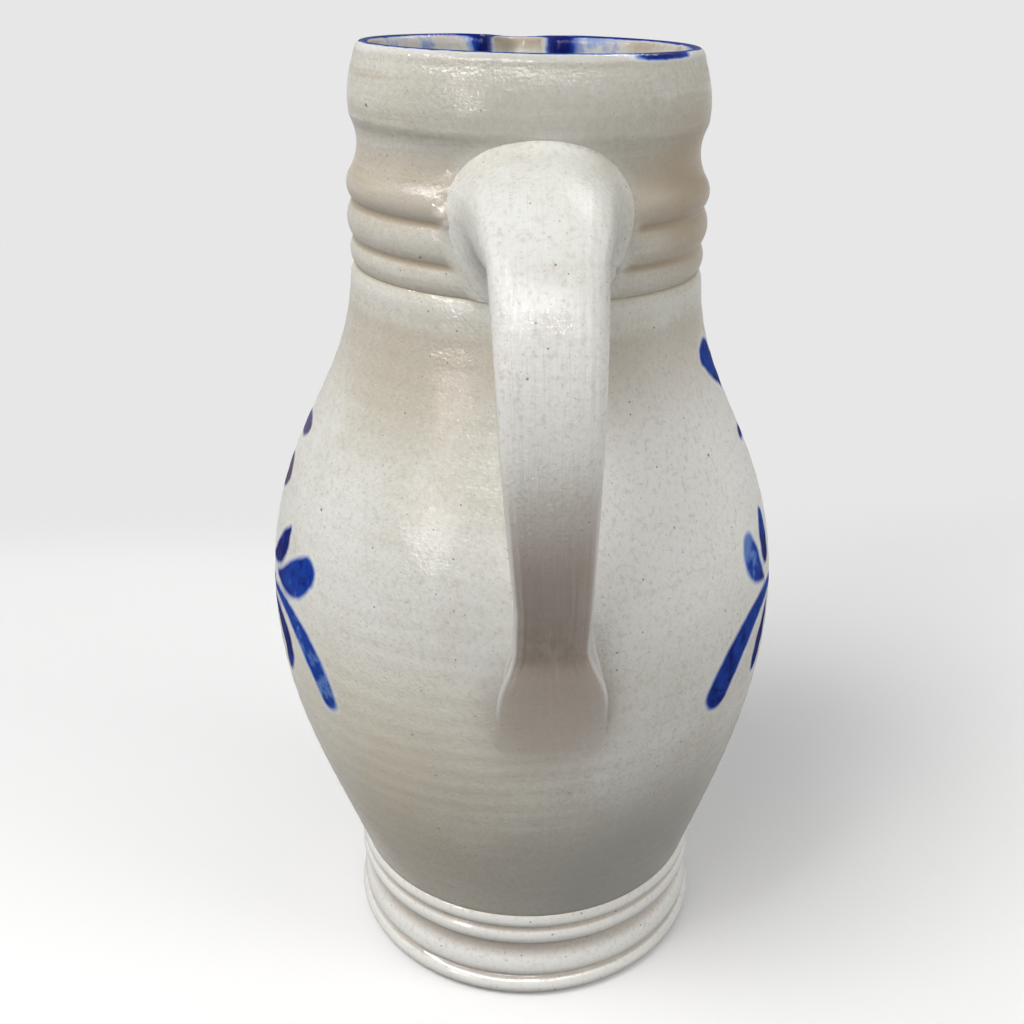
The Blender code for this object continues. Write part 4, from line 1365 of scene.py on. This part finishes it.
def set_table():
    """A pale table that runs back out of sight and keeps the pitcher's shadow."""
    glaze = settings("glaze")
    bm = bmesh.new()
    bmesh.ops.create_grid(bm, x_segments=2, y_segments=2, size=TABLE_HALF)
    mesh = bpy.data.meshes.new("table")
    bm.to_mesh(mesh)
    bm.free()
    table = bpy.data.objects.new("table", mesh)
    bpy.context.scene.collection.objects.link(table)
    finish = Finish("table")
    axes = finish.add("ShaderNodeSeparateXYZ")
    finish.feed(axes.inputs["Vector"], finish.place)
    path = finish.add("ShaderNodeLightPath")
    direct = finish.sum(path.outputs["Is Camera Ray"], path.outputs["Is Glossy Ray"], "MAXIMUM")
    direct = finish.sum(direct, path.outputs["Is Transmission Ray"], "MAXIMUM")
    finish.shader.inputs["Roughness"].default_value = 0.9
    finish.shader.inputs["Specular IOR Level"].default_value = 0.0
    finish.feed(finish.shader.inputs["Base Color"], finish.mix(direct, glaze.bounce, glaze.floor))
    far = finish.add("ShaderNodeEmission")
    finish.feed(far.inputs["Color"], glaze.distance)
    share = finish.times(finish.band(axes.outputs["X"], *TABLE_FADE), direct)
    both = finish.add("ShaderNodeMixShader")
    finish.feed(both.inputs[0], share)
    finish.feed(both.inputs[1], finish.shader.outputs["BSDF"])
    finish.feed(both.inputs[2], far.outputs["Emission"])
    finish.feed(finish.tree.nodes["Material Output"].inputs["Surface"], both.outputs["Shader"])
    mesh.materials.append(finish.material)


def set_lamps():
    """The lamps, the windows that gleam in the glaze, and the room's even light."""
    for name, turn_left, rise, power, tint in LAMPS:
        lamp(name, turn_left, rise, LAMP_REACH, LAMP_SIZE, LAMP_SIZE, power, tint, gleam=False)
    for window in WINDOWS:
        lamp(*window, gleam=True)
    world = bpy.data.worlds.new("studio")
    bpy.context.scene.world = world
    world.use_nodes = True
    backdrop = world.node_tree.nodes["Background"]
    backdrop.inputs["Color"].default_value = ROOM_COLOUR
    backdrop.inputs["Strength"].default_value = ROOM_LIGHT


# Operators, panel and main


class PITCHER_OT_floor(bpy.types.Operator):
    """Makes the bare floor slab."""

    bl_idname = "pitcher.floor"
    bl_label = "Floor"

    def execute(self, context):
        bare_clay(make_floor())
        return {"FINISHED"}


class PITCHER_OT_foot(bpy.types.Operator):
    """Makes the beaded foot."""

    bl_idname = "pitcher.foot"
    bl_label = "Foot"

    def execute(self, context):
        foot_glaze(make_foot())
        return {"FINISHED"}


class PITCHER_OT_belly(bpy.types.Operator):
    """Makes the thrown belly with its brushwork."""

    bl_idname = "pitcher.belly"
    bl_label = "Belly"

    def execute(self, context):
        body_glaze(make_belly())
        return {"FINISHED"}


class PITCHER_OT_neck(bpy.types.Operator):
    """Makes the ribbed neck, the collar and the pouring lip."""

    bl_idname = "pitcher.neck"
    bl_label = "Neck and lip"

    def execute(self, context):
        neck_glaze(make_neck())
        return {"FINISHED"}


class PITCHER_OT_handle(bpy.types.Operator):
    """Makes the pulled handle and the clay round its ends."""

    bl_idname = "pitcher.handle"
    bl_label = "Handle"

    def execute(self, context):
        handle_glaze(make_handle())
        return {"FINISHED"}


class PITCHER_OT_stage(bpy.types.Operator):
    """Sets the table, the lamps and the camera."""

    bl_idname = "pitcher.stage"
    bl_label = "Stage"

    def execute(self, context):
        context.scene.view_settings.view_transform = "Standard"
        set_table()
        set_lamps()
        set_camera()
        return {"FINISHED"}


class PITCHER_PT_tools(bpy.types.Panel):
    """Lists the pitcher's pieces and sizes."""

    bl_idname = "PITCHER_PT_tools"
    bl_label = "Pitcher"
    bl_space_type = "VIEW_3D"
    bl_region_type = "UI"
    bl_category = "Pitcher"

    def draw(self, context):
        for operator in OPERATORS:
            self.layout.operator(operator.bl_idname)
        for name, group in GROUPS.items():
            box = self.layout.box()
            box.label(text=group.__doc__)
            for size in group.__annotations__:
                box.prop(getattr(context.scene, name), size)


OPERATORS = (
    PITCHER_OT_floor,
    PITCHER_OT_foot,
    PITCHER_OT_belly,
    PITCHER_OT_neck,
    PITCHER_OT_handle,
    PITCHER_OT_stage,
)
CLASSES = (*GROUPS.values(), *OPERATORS, PITCHER_PT_tools)


def register():
    """Makes the settings, the operators and the panel known."""
    for item in CLASSES:
        bpy.utils.register_class(item)
    for name, group in GROUPS.items():
        setattr(bpy.types.Scene, name, PointerProperty(type=group))


def unregister():
    """Takes them away again."""
    for name in GROUPS:
        delattr(bpy.types.Scene, name)
    for item in reversed(CLASSES):
        bpy.utils.unregister_class(item)


def main():
    """Makes the pieces and their stage."""
    register()
    bpy.ops.pitcher.floor()
    bpy.ops.pitcher.foot()
    bpy.ops.pitcher.belly()
    bpy.ops.pitcher.neck()
    bpy.ops.pitcher.handle()
    bpy.ops.pitcher.stage()


if __name__ == "__main__":
    main()
